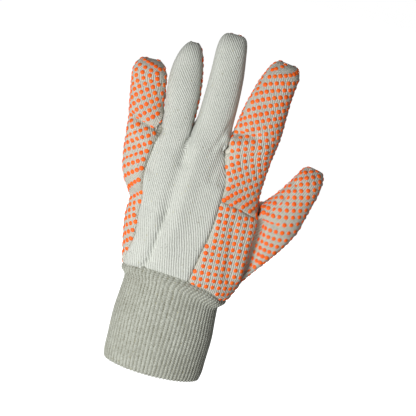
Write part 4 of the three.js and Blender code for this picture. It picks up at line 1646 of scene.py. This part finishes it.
@dataclass(frozen=True)
class KnitCuff:
    """The ribbed tube at the wrist, with the fold that bulges under its seam.

    Its top tucks up under the hand's cloth and dips in at the seam. `seam_reach` is the share of its
    length over which it leaves the hand's outline, and `hem_reach` how far up the hem's scallops go.
    """

    sizes: GloveSizes
    shape: HandShape
    rib_count: int = 68
    rib_columns: int = 6
    rib_height: float = 0.0004
    rib_fullness: float = 0.75
    rib_wander: float = 0.5
    wander_scale: float = 70.0
    inner_rib: float = 0.25
    rows: int = 66
    inner_rows: int = 18
    hem_rows: int = 3
    outline_steps: int = 20
    wall: float = 0.0020
    tuck: float = 0.0015
    dip: float = 0.0014
    dip_reach: float = 0.0014
    seam_reach: float = 0.10
    scallop: float = 0.0005
    hem_reach: float = 0.0022

    def angles(self) -> np.ndarray:
        """The angles of the columns, evenly spaced along the cuff's outline.

        Returns:
            The angles in radians.
        """
        columns = self.rib_count * self.rib_columns
        fine = np.linspace(0, 2 * math.pi, self.outline_steps * columns + 1)
        x, y = outline(fine, self.sizes.cuff_square)
        steps = np.hypot(np.diff(x) * self.sizes.cuff_width, np.diff(y) * self.sizes.cuff_depth)
        lengths = np.concatenate(([0], np.cumsum(steps)))
        return np.interp(np.arange(columns) / columns * lengths[-1], lengths, fine)

    def loops(self) -> tuple[np.ndarray, np.ndarray, np.ndarray]:
        """The rings of the tube's wall: down the outside, round the hem and up the inside.

        Returns:
            The points, outward directions and rib shares, one row for each ring.
        """
        sizes, angles = self.sizes, self.angles()
        top = np.array([self.shape.point(a, sizes.cuff_length) for a in angles])
        seam = np.array([self.shape.point(a, self.shape.seam_height(x))
                         for a, x in zip(angles, top[:, 0])])
        shares = np.linspace(0, 1, self.rows)
        points, ribs = [], []
        for at in shares:
            x, y = outline(angles, mix(sizes.hand_square, sizes.cuff_square, at))
            own = np.stack((
                x * CUFF.read("wide", at) * sizes.cuff_width / 2,
                y * CUFF.read("deep", at) * sizes.cuff_depth / 2,
                seam[:, 2] * (1 - at)), 1)
            held = seam * (1, 1, 0) + own * (0, 0, 1)
            points.append(mix(held, own, ease(at / self.seam_reach)))
            ribs.append(CUFF.read("rib", at))
        points = np.array(points)
        outward = self.outward(points)
        drop = self.dip * np.exp(-(shares * sizes.cuff_length / self.dip_reach) ** 2)
        middle = points - outward * (self.wall / 2 + drop[:, None, None])
        middle[0, :, 2] += self.tuck
        rings, ways, strengths = [], [], []

        def add(centre: np.ndarray, way: np.ndarray, rib: float) -> None:
            """Adds one ring of the wall."""
            rings.append(centre + way * self.wall / 2)
            ways.append(way)
            strengths.append(rib)

        for row in range(self.rows):
            add(middle[row], outward[row], ribs[row])
        down = np.broadcast_to((0.0, 0.0, -1.0), outward[-1].shape)
        for step in range(1, self.hem_rows + 1):
            turn = math.pi * step / (self.hem_rows + 1)
            way = outward[-1] * math.cos(turn) + down * math.sin(turn)
            add(middle[-1], way, ribs[-1] * (1 - step / (self.hem_rows + 1)))
        for row in np.linspace(self.rows - 1, 0, self.inner_rows).round().astype(int):
            add(middle[row], -outward[row], self.inner_rib)
        return np.array(rings), np.array(ways), np.array(strengths)

    @staticmethod
    def outward(points: np.ndarray) -> np.ndarray:
        """The outward direction at each point of a tube's rings, which run downwards.

        Args:
            points: the points, one row for each ring.

        Returns:
            The directions, of length 1.
        """
        around = np.roll(points, -1, 1) - np.roll(points, 1, 1)
        down = np.gradient(points, axis=0)
        way = np.cross(down, around)
        return way / np.linalg.norm(way, axis=2, keepdims=True)

    def rib_tree(self) -> bpy.types.NodeTree:
        """The Geometry Nodes tree that raises the ribs.

        Returns:
            The tree.
        """
        graph, given, result = new_group(
            "raise_ribs", "GeometryNodeTree",
            {"Geometry": "Geometry", "Rib Height": "Float", "Rib Fullness": "Float", "Scallop": "Float",
             "Wander": "Float", "Wander Scale": "Float", "Finish": "Material"},
            {"Geometry": "Geometry"})
        position = graph.add("GeometryNodeInputPosition").outputs[0]
        wander = graph.math("SUBTRACT", graph.noise(position, given.outputs["Wander Scale"]), 0.5)
        around = graph.named("around", "FLOAT")
        turns = graph.math("MULTIPLY_ADD", wander, given.outputs["Wander"], around)
        full = graph.math("POWER", graph.wave(turns), given.outputs["Rib Fullness"])
        rise = graph.math("MULTIPLY", graph.math("SUBTRACT", full, 0.5), graph.named("rib", "FLOAT"))
        height = graph.math("MULTIPLY", rise, given.outputs["Rib Height"])
        outward = graph.named("outward", "FLOAT_VECTOR")
        out = graph.add("ShaderNodeVectorMath", {0: outward, "Scale": height}, operation="SCALE")
        hem = graph.math("MULTIPLY", full, graph.named("hem", "FLOAT"))
        drop = graph.math("MULTIPLY", hem, given.outputs["Scallop"])
        down = graph.add("ShaderNodeCombineXYZ", {"Z": graph.math("MULTIPLY", drop, -1.0)})
        offset = graph.add("ShaderNodeVectorMath", {0: out.outputs[0], 1: down.outputs[0]},
                           operation="ADD")
        moved = graph.add("GeometryNodeSetPosition", {
            "Geometry": given.outputs["Geometry"], "Offset": offset.outputs[0]})
        dressed = graph.dress(moved.outputs[0], given.outputs["Finish"])
        graph.tree.links.new(dressed, result.inputs[0])
        return graph.tree

    def build(self, finish: bpy.types.Material) -> bpy.types.Object:
        """Builds the cuff.

        Args:
            finish: its material.

        Returns:
            The object.
        """
        rings, ways, strengths = self.loops()
        levels, columns = rings.shape[:2]
        level, column = np.meshgrid(np.arange(levels), np.arange(columns), indexing="ij")
        after, below = (column + 1) % columns, (level + 1) % levels
        corners = ((level, column), (below, column), (below, after), (level, after))
        faces = np.stack([(row * columns + col).ravel() for row, col in corners], 1)
        mesh = bpy.data.meshes.new("knit_base")
        mesh.from_pydata(rings.reshape(-1, 3).tolist(), [], faces.tolist())
        steps = np.linalg.norm(np.diff(rings, axis=0), axis=2).mean(1)
        down = np.concatenate(([0], np.cumsum(steps)))
        knit = np.stack([np.stack(((column + step).ravel() / self.rib_columns, down[row].ravel()), 1)
                         for (row, _), step in zip(corners, (0, 0, 1, 1))], 1)
        mesh.uv_layers.new(name="knit").data.foreach_set("uv", knit.ravel())
        hem = np.exp(-((rings[:, :, 2] / self.hem_reach) ** 2))
        for name, kind, field, values in (
                ("around", "FLOAT", "value", column / self.rib_columns),
                ("rib", "FLOAT", "value", np.repeat(strengths, columns)),
                ("hem", "FLOAT", "value", hem),
                ("outward", "FLOAT_VECTOR", "vector", ways)):
            mesh.attributes.new(name, kind, "POINT").data.foreach_set(field, np.ravel(values))
        made = run_nodes("knit_cuff_ribs", mesh, self.rib_tree(), {
            "Rib Height": self.rib_height, "Rib Fullness": self.rib_fullness, "Scallop": self.scallop,
            "Wander": self.rib_wander, "Wander Scale": self.wander_scale, "Finish": finish})
        made.shade_smooth()
        cuff = new_object("knit_cuff_ribs", made)
        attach(cuff, BODY)
        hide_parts("knit_cuff")
        return cuff


def cloth_wall(name: str, skin: Skin, panel: Panel, thickness: float) -> bpy.types.Mesh:
    """A wall of even thickness under one panel of the skin.

    Args:
        name: name of the mesh.
        skin: the fine skin.
        panel: the piece of cloth.
        thickness: thickness of the wall.

    Returns:
        The closed mesh, with the flat places as its UV map.
    """
    chosen = skin.panels == PANELS.index(panel)
    quads, flat = skin.quads[chosen], skin.flat[chosen]
    used, quads = np.unique(quads, return_inverse=True)
    quads = quads.reshape(-1, 4)
    outer = skin.points[used]
    inner = outer - skin.normals()[used] * thickness
    count = len(used)
    corner_of = {(a, b): (face, i) for face, quad in enumerate(quads.tolist())
                 for i, (a, b) in enumerate(zip(quad, (*quad[1:], quad[0])))}
    rims = [(a, b, spot) for (a, b), spot in corner_of.items() if (b, a) not in corner_of]
    rim_faces = np.array([(b, a, a + count, b + count) for a, b, _ in rims])
    rim_flat = np.array([[flat[f][(i + 1) % 4], flat[f][i], flat[f][i], flat[f][(i + 1) % 4]]
                         for _, _, (f, i) in rims])
    faces = np.concatenate((quads, quads[:, ::-1] + count, rim_faces))
    mesh = bpy.data.meshes.new(name)
    mesh.from_pydata(np.concatenate((outer, inner)).tolist(), [], faces.tolist())
    mesh.uv_layers.new(name="flat").data.foreach_set(
        "uv", np.concatenate((flat, flat[:, ::-1], rim_flat)).ravel())
    mesh.shade_smooth()
    return mesh


@dataclass(frozen=True)
class ClothPanels:
    """The four pieces of cloth of the hand."""

    skin: Skin
    thickness: float = 0.0013

    def build(self, finishes: dict[Panel, bpy.types.Material]) -> list[bpy.types.Object]:
        """Builds each piece of cloth as a wall.

        Args:
            finishes: the material of each piece.

        Returns:
            The objects.
        """
        made = []
        for panel in Panel:
            name = f"{panel.value}_cloth"
            piece = new_object(name, cloth_wall(name, self.skin, panel, self.thickness))
            piece.data.materials.append(finishes[panel])
            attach(piece, BODY)
            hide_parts(panel.value)
            made.append(piece)
        return made


def point_mesh(name: str, points: np.ndarray, **ways: np.ndarray) -> bpy.types.Mesh:
    """A mesh of loose points with directions.

    Args:
        name: its name.
        points: the points.
        ways: the directions at each point, by the names of their attributes.

    Returns:
        The mesh.
    """
    mesh = bpy.data.meshes.new(name)
    mesh.from_pydata(points.tolist(), [], [])
    for label, values in ways.items():
        mesh.attributes.new(label, "FLOAT_VECTOR", "POINT").data.foreach_set("vector", values.ravel())
    return mesh


@dataclass(frozen=True)
class Stitching:
    """The sewing thread: stitches along the seams, and slanting ones round the cuff's seam."""

    skin: Skin
    cuff_seam: float
    step: float = 0.0030
    length: float = 0.0021
    width: float = 0.00055
    height: float = 0.0004
    slant: float = 32.0
    sides: int = 8
    rings: int = 5

    def runs(self) -> list[list[int]]:
        """The seams as runs of point numbers, from fork to fork or all round.

        Returns:
            The runs.
        """
        edges = self.skin.seam_edges()
        near = defaultdict(list)
        for a, b in edges:
            near[a].append(b)
            near[b].append(a)
        left = {frozenset(edge) for edge in edges}

        def walk(run: list[int]) -> list[int]:
            """Follows a run until it forks or closes.

            Args:
                run: its first two points.

            Returns:
                The whole run.
            """
            left.discard(frozenset(run))
            while len(near[run[-1]]) == 2:
                onward = [point for point in near[run[-1]] if frozenset((run[-1], point)) in left]
                if not onward:
                    break
                left.discard(frozenset((run[-1], onward[0])))
                run.append(onward[0])
            return run

        forks = [point for point, others in near.items() if len(others) != 2]
        return [walk([start, after]) for start in (*forks, *near) for after in near[start]
                if frozenset((start, after)) in left]

    def stitches(self, run: list[int], normals: np.ndarray) -> tuple[np.ndarray, np.ndarray, np.ndarray]:
        """Spaces stitches evenly along a run.

        Args:
            run: the numbers of its points.
            normals: the outward direction of each point of the skin.

        Returns:
            The middle, outward direction and direction along the seam of each stitch.
        """
        line, ways = self.skin.points[run], normals[run]
        lengths = np.concatenate(([0], np.cumsum(np.linalg.norm(np.diff(line, axis=0), axis=1))))
        count = int(lengths[-1] / self.step)
        places = (np.arange(count) + 0.5) * lengths[-1] / max(count, 1)

        def at(values: np.ndarray, where: np.ndarray) -> np.ndarray:
            """Values read at places along the run."""
            return np.stack([np.interp(where, lengths, values[:, i]) for i in range(3)], 1)

        reach = self.length / 2
        along = at(line, places + reach) - at(line, places - reach)
        return at(line, places), at(ways, places), along

    def tree(self) -> bpy.types.NodeTree:
        """The Geometry Nodes tree that lays a rounded stitch on each point.

        Returns:
            The tree.
        """
        graph, given, result = new_group(
            "lay_stitches", "GeometryNodeTree",
            {"Geometry": "Geometry", "Stitch Length": "Float", "Stitch Width": "Float",
             "Stitch Height": "Float", "Finish": "Material"}, {"Geometry": "Geometry"})
        ball = graph.add("GeometryNodeMeshUVSphere", {
            "Segments": self.sides, "Rings": self.rings, "Radius": 0.5})
        outward, onward = (graph.named(name, "FLOAT_VECTOR") for name in ("outward", "along"))
        upright = graph.add("FunctionNodeAlignRotationToVector", {"Vector": outward}, axis="Z")
        turned = graph.add("FunctionNodeAlignRotationToVector",
                           {"Rotation": upright.outputs[0], "Vector": onward}, axis="X", pivot_axis="Z")
        size = graph.add("ShaderNodeCombineXYZ", {
            "X": given.outputs["Stitch Length"], "Y": given.outputs["Stitch Width"],
            "Z": given.outputs["Stitch Height"]})
        smooth = graph.add("GeometryNodeSetShadeSmooth", {"Geometry": ball.outputs["Mesh"]})
        laid = graph.add("GeometryNodeInstanceOnPoints", {
            "Points": given.outputs["Geometry"], "Instance": smooth.outputs[0],
            "Rotation": turned.outputs[0], "Scale": size.outputs[0]})
        dressed = graph.dress(laid.outputs[0], given.outputs["Finish"])
        graph.tree.links.new(dressed, result.inputs[0])
        return graph.tree

    def build(self, finish: bpy.types.Material) -> list[bpy.types.Object]:
        """Builds the stitches of the cuff's seam and of the others.

        Args:
            finish: the thread's material.

        Returns:
            The two objects.
        """
        tree, normals = self.tree(), self.skin.normals()
        seams = {name: [] for name in ("cuff_stitches", "panel_stitches")}
        for run in self.runs():
            on_cuff = self.skin.points[run][:, 2].max() < self.cuff_seam
            seams["cuff_stitches" if on_cuff else "panel_stitches"].append(self.stitches(run, normals))
        made = []
        for name, found in seams.items():
            points, outward, along = (np.concatenate(part) for part in zip(*found))
            outward /= np.linalg.norm(outward, axis=1, keepdims=True)
            if name == "cuff_stitches":
                across = np.cross(outward, along)
                angle = math.radians(self.slant)
                along = along * math.cos(angle) + across * math.sin(angle)
            places = point_mesh(f"{name}_places", points, outward=outward, along=along)
            piece = new_object(name, run_nodes(name, places, tree, {
                "Stitch Length": self.length, "Stitch Width": self.width, "Stitch Height": self.height,
                "Finish": finish}))
            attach(piece, BODY)
            LOG.info("%s: %d stitches", name, len(points))
            made.append(piece)
        return made


@dataclass(frozen=True)
class DotField:
    """The raised dots: rows and columns on the flat cloth, set at a slant on each sheet."""

    skin: Skin
    size: float = 0.0035
    height: float = 0.0007
    sink: float = 0.0002
    pitch: float = 0.0048
    spread: float = 0.06
    edge_gap: float = 0.0008
    nearest: float = 0.0036
    squeezed: float = 0.0027
    sides: int = 12
    rings: int = 3
    seed: int = 7

    def slants(self) -> dict[Sheet, float]:
        """The angle of the dots' rows on each sheet, in degrees."""
        return {Sheet.PALM: 62.0, Sheet.HAND_SIDE: 4.0, Sheet.THUMB_BACK: 37.0, Sheet.THUMB_FRONT: 48.0}

    def centres(self, panels: Sequence[Panel]) -> tuple[np.ndarray, np.ndarray]:
        """Finds the dots' places.

        Args:
            panels: the pieces of cloth that they are on.

        Returns:
            The points and the outward directions.
        """
        skin, normals = self.skin, self.skin.normals()
        numbers = [PANELS.index(panel) for panel in panels]
        found: list[np.ndarray] = []
        for sheet, slant in self.slants().items():
            number = SHEETS.index(sheet)
            chosen = np.isin(skin.panels, numbers) & (skin.sheets == number)
            cos, sin = math.cos(math.radians(slant)), math.sin(math.radians(slant))
            rows = skin.flat[chosen] @ np.array(((cos, -sin), (sin, cos))) / self.pitch
            quads = skin.quads[chosen]
            found += [self.inside(rows[:, corners], quads[:, corners], normals, number)
                      for corners in ((0, 1, 2), (0, 2, 3))]
        return self.thin(np.concatenate(found))

    def inside(self, rows: np.ndarray, corners: np.ndarray, normals: np.ndarray, sheet: int) -> np.ndarray:
        """Finds where whole rows and columns cross inside triangles.

        Args:
            rows: the triangles' corners in rows and columns of dots.
            corners: the numbers of their points.
            normals: the outward direction of each point.
            sheet: the number of the sheet.

        Returns:
            For each dot its point, outward direction, row, column and sheet.
        """
        cross = np.ceil(rows.min(1))
        a, b, c = rows[:, 0], rows[:, 1], rows[:, 2]
        area = np.cross(b - a, c - a)
        safe = np.where(area == 0, 1, area)
        second = np.cross(cross - a, c - a) / safe
        third = np.cross(b - a, cross - a) / safe
        weights = np.stack((1 - second - third, second, third), 1)
        hit = (weights.min(1) >= 0) & (area != 0)
        weights, corners = weights[hit][:, :, None], corners[hit]
        points = (self.skin.points[corners] * weights).sum(1)
        ways = (normals[corners] * weights).sum(1)
        ways /= np.linalg.norm(ways, axis=1, keepdims=True)
        return np.hstack((points, ways, cross[hit], np.full((hit.sum(), 1), sheet)))

    def thin(self, found: np.ndarray) -> tuple[np.ndarray, np.ndarray]:
        """Drops dots that lie on a seam, or too near another across a cut of the sheets.

        Args:
            found: the dots, as `inside` gives them.

        Returns:
            The points and the outward directions.
        """
        seam = self.skin.seam_points()
        edge = make_tree(self.skin.points[seam])
        found = found[[edge.find(point[:3])[2] > self.edge_gap for point in found]]
        tree = make_tree(found[:, :3])
        kept = np.ones(len(found), bool)
        for number, dot in enumerate(found):
            for _, other, gap in tree.find_range(dot[:3], self.nearest):
                if other >= number or not kept[other]:
                    continue
                near = found[other]
                beside = near[8] == dot[8] and np.abs(near[6:8] - dot[6:8]).max() <= 1
                if not beside or gap < self.squeezed:
                    kept[number] = False
        found = found[kept]
        return found[:, :3], found[:, 3:6]

    def dot_tree(self) -> bpy.types.NodeTree:
        """The Geometry Nodes tree that sets a domed dot on each point.

        Returns:
            The tree.
        """
        graph, given, result = new_group(
            "set_dots", "GeometryNodeTree",
            {"Geometry": "Geometry", "Dot Size": "Float", "Dot Height": "Float", "Sink": "Float",
             "Sides": "Int", "Rings": "Int", "Spread": "Float", "Seed": "Int", "Finish": "Material"},
            {"Geometry": "Geometry"})
        radius = graph.math("MULTIPLY", given.outputs["Dot Size"], 0.5)
        cone = graph.add("GeometryNodeMeshCone", {
            "Vertices": given.outputs["Sides"], "Side Segments": given.outputs["Rings"], "Radius Top": 0.0,
            "Radius Bottom": radius, "Depth": given.outputs["Dot Height"]})
        position = graph.add("GeometryNodeInputPosition").outputs[0]
        split = graph.add("ShaderNodeSeparateXYZ", {0: position})
        out = graph.math("SQRT", graph.math("ADD", graph.math("POWER", split.outputs["X"], 2.0),
                                            graph.math("POWER", split.outputs["Y"], 2.0)))
        share = graph.math("MINIMUM", graph.math("DIVIDE", out, radius), 1.0)
        spread = graph.math("SINE", graph.math("MULTIPLY", share, math.pi / 2))
        swell = graph.math("DIVIDE", spread, graph.math("MAXIMUM", share, 0.001))
        dome = graph.math("SQRT", graph.math("SUBTRACT", 1.0, graph.math("POWER", spread, 2.0)))
        risen = graph.math("MULTIPLY", graph.math("MAXIMUM", dome, 0.0), given.outputs["Dot Height"])
        place = graph.add("ShaderNodeCombineXYZ", {
            "X": graph.math("MULTIPLY", split.outputs["X"], swell),
            "Y": graph.math("MULTIPLY", split.outputs["Y"], swell),
            "Z": graph.math("SUBTRACT", risen, given.outputs["Sink"])})
        domed = graph.add("GeometryNodeSetPosition", {
            "Geometry": cone.outputs["Mesh"], "Position": place.outputs[0]})
        smooth = graph.add("GeometryNodeSetShadeSmooth", {"Geometry": domed.outputs[0]})
        outward = graph.named("outward", "FLOAT_VECTOR")
        turn = graph.add("FunctionNodeAlignRotationToVector", {"Vector": outward}, axis="Z")
        low = graph.math("SUBTRACT", 1.0, given.outputs["Spread"])
        high = graph.math("ADD", 1.0, given.outputs["Spread"])
        size = graph.add("FunctionNodeRandomValue", {2: low, 3: high, "Seed": given.outputs["Seed"]},
                         data_type="FLOAT")
        set_dots = graph.add("GeometryNodeInstanceOnPoints", {
            "Points": given.outputs["Geometry"], "Instance": smooth.outputs[0],
            "Rotation": turn.outputs[0], "Scale": size.outputs[1]})
        dressed = graph.dress(set_dots.outputs[0], given.outputs["Finish"])
        graph.tree.links.new(dressed, result.inputs[0])
        return graph.tree

    def build(self, finish: bpy.types.Material) -> list[bpy.types.Object]:
        """Builds the dots of the palm's cloth and of the thumb's.

        Args:
            finish: their material.

        Returns:
            The two objects.
        """
        tree = self.dot_tree()
        made = []
        for name, panels in (("palm_dots", [Panel.PALM]), ("thumb_dots", [Panel.THUMB, Panel.FRONT])):
            points, outward = self.centres(panels)
            places = point_mesh(f"{name}_places", points, outward=outward)
            piece = new_object(name, run_nodes(name, places, tree, {
                "Dot Size": self.size, "Dot Height": self.height, "Sink": self.sink, "Sides": self.sides,
                "Rings": self.rings, "Spread": self.spread, "Seed": self.seed, "Finish": finish}))
            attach(piece, BODY)
            LOG.info("%s: %d dots", name, len(points))
            made.append(piece)
        return made


def make_tree(points: np.ndarray) -> KDTree:
    """A search tree of points.

    Args:
        points: the points, which keep their numbers.

    Returns:
        The tree.
    """
    tree = KDTree(len(points))
    for number, point in enumerate(points):
        tree.insert(point, number)
    tree.balance()
    return tree


@dataclass(frozen=True)
class Lamp:
    """A square soft lamp that points at the glove, placed from the glove's middle, in watts."""

    name: str
    place: tuple[float, float, float]
    size: float
    power: float

    def build(self, middle: Vector) -> None:
        """Builds the lamp round the glove's middle.

        Args:
            middle: the glove's middle.
        """
        data = bpy.data.lights.new(self.name, "AREA")
        data.size = self.size
        data.energy = self.power
        lamp = bpy.data.objects.new(self.name, data)
        bpy.context.scene.collection.objects.link(lamp)
        away = Vector(self.place)
        turn = away.to_track_quat("Z", "Y").to_matrix().to_4x4()
        lamp.matrix_world = Matrix.Translation(middle + away) @ turn


@dataclass(frozen=True)
class Studio:
    """The plain pale floor, the soft light and the camera.

    The camera looks level with the glove's middle from a little above, and leans so that the glove
    leans in the picture as it does in the photograph. The surroundings and the floor are white to
    look at and dimmer as light.
    """

    picture_width: float = 0.302
    middle: tuple[float, float, float] = (0.0104, 0.0, 0.1261)
    elevation: float = 11.0
    roll: float = 15.0
    lens: float = 0.110
    sensor: float = 0.036
    sight: float = 200.0
    floor_drop: float = 0.25
    floor_size: float = 60.0
    floor_grey: float = 0.25
    floor_glow: float = 0.95
    sky_light: float = 0.26
    lamps: tuple[Lamp, ...] = (
        Lamp("key", (-0.46, -0.82, -0.15), 0.42, 9.7),
        Lamp("palm fill", (0.1, 1.8, 0.3), 0.6, 24),
    )

    def add_camera(self) -> None:
        """Adds the camera at the photograph's angle."""
        rise = math.radians(self.elevation)
        back = Vector((0, -math.cos(rise), math.sin(rise)))
        distance = self.picture_width * self.lens / self.sensor
        data = bpy.data.cameras.new("camera")
        data.lens = self.lens * 1000
        data.sensor_width = self.sensor * 1000
        data.clip_end = self.sight
        camera = bpy.data.objects.new("camera", data)
        bpy.context.scene.collection.objects.link(camera)
        level = back.to_track_quat("Z", "Y").to_matrix().to_4x4()
        turn = Matrix.Rotation(math.radians(self.roll), 4, "Z")
        camera.matrix_world = Matrix.Translation(Vector(self.middle) + back * distance) @ level @ turn
        bpy.context.scene.camera = camera

    def add_world(self) -> None:
        """Makes the surroundings white to look at, and a softer white as light."""
        world = bpy.data.worlds.new("studio")
        world.use_nodes = True
        tree = world.node_tree
        background = tree.nodes["Background"]
        background.inputs["Color"].default_value = (1, 1, 1, 1)
        path = tree.nodes.new("ShaderNodeLightPath")
        strength = tree.nodes.new("ShaderNodeMapRange")
        strength.inputs["To Min"].default_value = self.sky_light
        strength.inputs["To Max"].default_value = 1.0
        tree.links.new(path.outputs["Is Camera Ray"], strength.inputs["Value"])
        tree.links.new(strength.outputs["Result"], background.inputs["Strength"])
        bpy.context.scene.world = world

    def add_floor(self) -> None:
        """Adds the plain pale floor."""
        half = self.floor_size / 2
        mesh = bpy.data.meshes.new("floor")
        corners = [(-half, -half), (half, -half), (half, half), (-half, half)]
        mesh.from_pydata([(x, y, -self.floor_drop) for x, y in corners], [], [(0, 1, 2, 3)])
        floor = new_object("floor", mesh)
        material, graph, shader = new_material("pale_floor")
        shader.inputs["Base Color"].default_value = (*[self.floor_grey] * 3, 1)
        shader.inputs["Roughness"].default_value = 0.9
        shader.inputs["Emission Color"].default_value = (1, 1, 1, 1)
        seen = graph.add("ShaderNodeLightPath").outputs["Is Camera Ray"]
        glow = graph.span(seen, 0.0, 1.0, 0.0, self.floor_glow)
        graph.tree.links.new(glow, shader.inputs["Emission Strength"])
        mesh.materials.append(material)

    def build(self) -> None:
        """Builds the whole studio."""
        self.add_camera()
        self.add_world()
        self.add_floor()
        for lamp in self.lamps:
            lamp.build(Vector(self.middle))
        bpy.context.scene.view_settings.view_transform = "Standard"


# The finishes of the glove's own pieces
COTTON = linear(223, 226, 218)
GREY_COTTON = linear(222, 218, 205)
# Painted shade: the darker colour that the weave's valleys are painted towards, which the broad random
# unevenness also leans to
HOLLOW_SHADE = linear(122, 125, 112)
CLOTHS = {
    Panel.BACK: ClothFinish("twill_back", COTTON, HOLLOW_SHADE, 125.0, 0.65),
    Panel.PALM: ClothFinish("canvas_palm", GREY_COTTON, HOLLOW_SHADE, 70.0, 0.7),
    Panel.THUMB: ClothFinish("canvas_thumb", GREY_COTTON, HOLLOW_SHADE, 90.0, 0.7),
    Panel.FRONT: ClothFinish("canvas_thumb_front", GREY_COTTON, HOLLOW_SHADE, 90.0, 0.7),
}
# The knit's second colour is the painted shade of the valleys between its ribs, which the heather and the
# worn patches also lean to
KNIT = KnitFinish("rib_knit_cotton", linear(188, 191, 180), linear(104, 102, 82))
DOTS = DotFinish("orange_pvc", linear(255, 113, 28), linear(248, 94, 19))
THREAD = ThreadFinish("cotton_thread", linear(168, 164, 146), linear(120, 116, 98))

# A seam that stays below this share of the cuff's length is the cuff's own
CUFF_SEAM_REACH = 1.03


def main() -> None:
    """Builds the glove and its studio."""
    logging.basicConfig(level=logging.INFO, format="%(name)s: %(message)s")
    sizes, grid = GloveSizes(), GridSizes()
    Studio().build()
    effects = Effects()
    cage = GloveCage(sizes, grid)
    skin = cage.subdivide()
    tailor = Tailor(skin, cage.shape)
    tailor.press([*MAIN_FOLDS.values(), *FINE_FOLDS.values()])
    tailor.groove()
    tailor.turn_weave()
    tailor.gather()
    cloths = {panel: finish.build(effects) for panel, finish in CLOTHS.items()}
    pieces = ClothPanels(skin).build(cloths)
    pieces.append(KnitCuff(sizes, cage.shape).build(KNIT.build(effects)))
    pieces += DotField(skin).build(DOTS.build())
    pieces += Stitching(skin, sizes.cuff_length * CUFF_SEAM_REACH).build(THREAD.build())
    for piece in pieces:
        LOG.info("%s has %d faces", piece.name, len(piece.data.polygons))


if __name__ == "__main__":
    main()
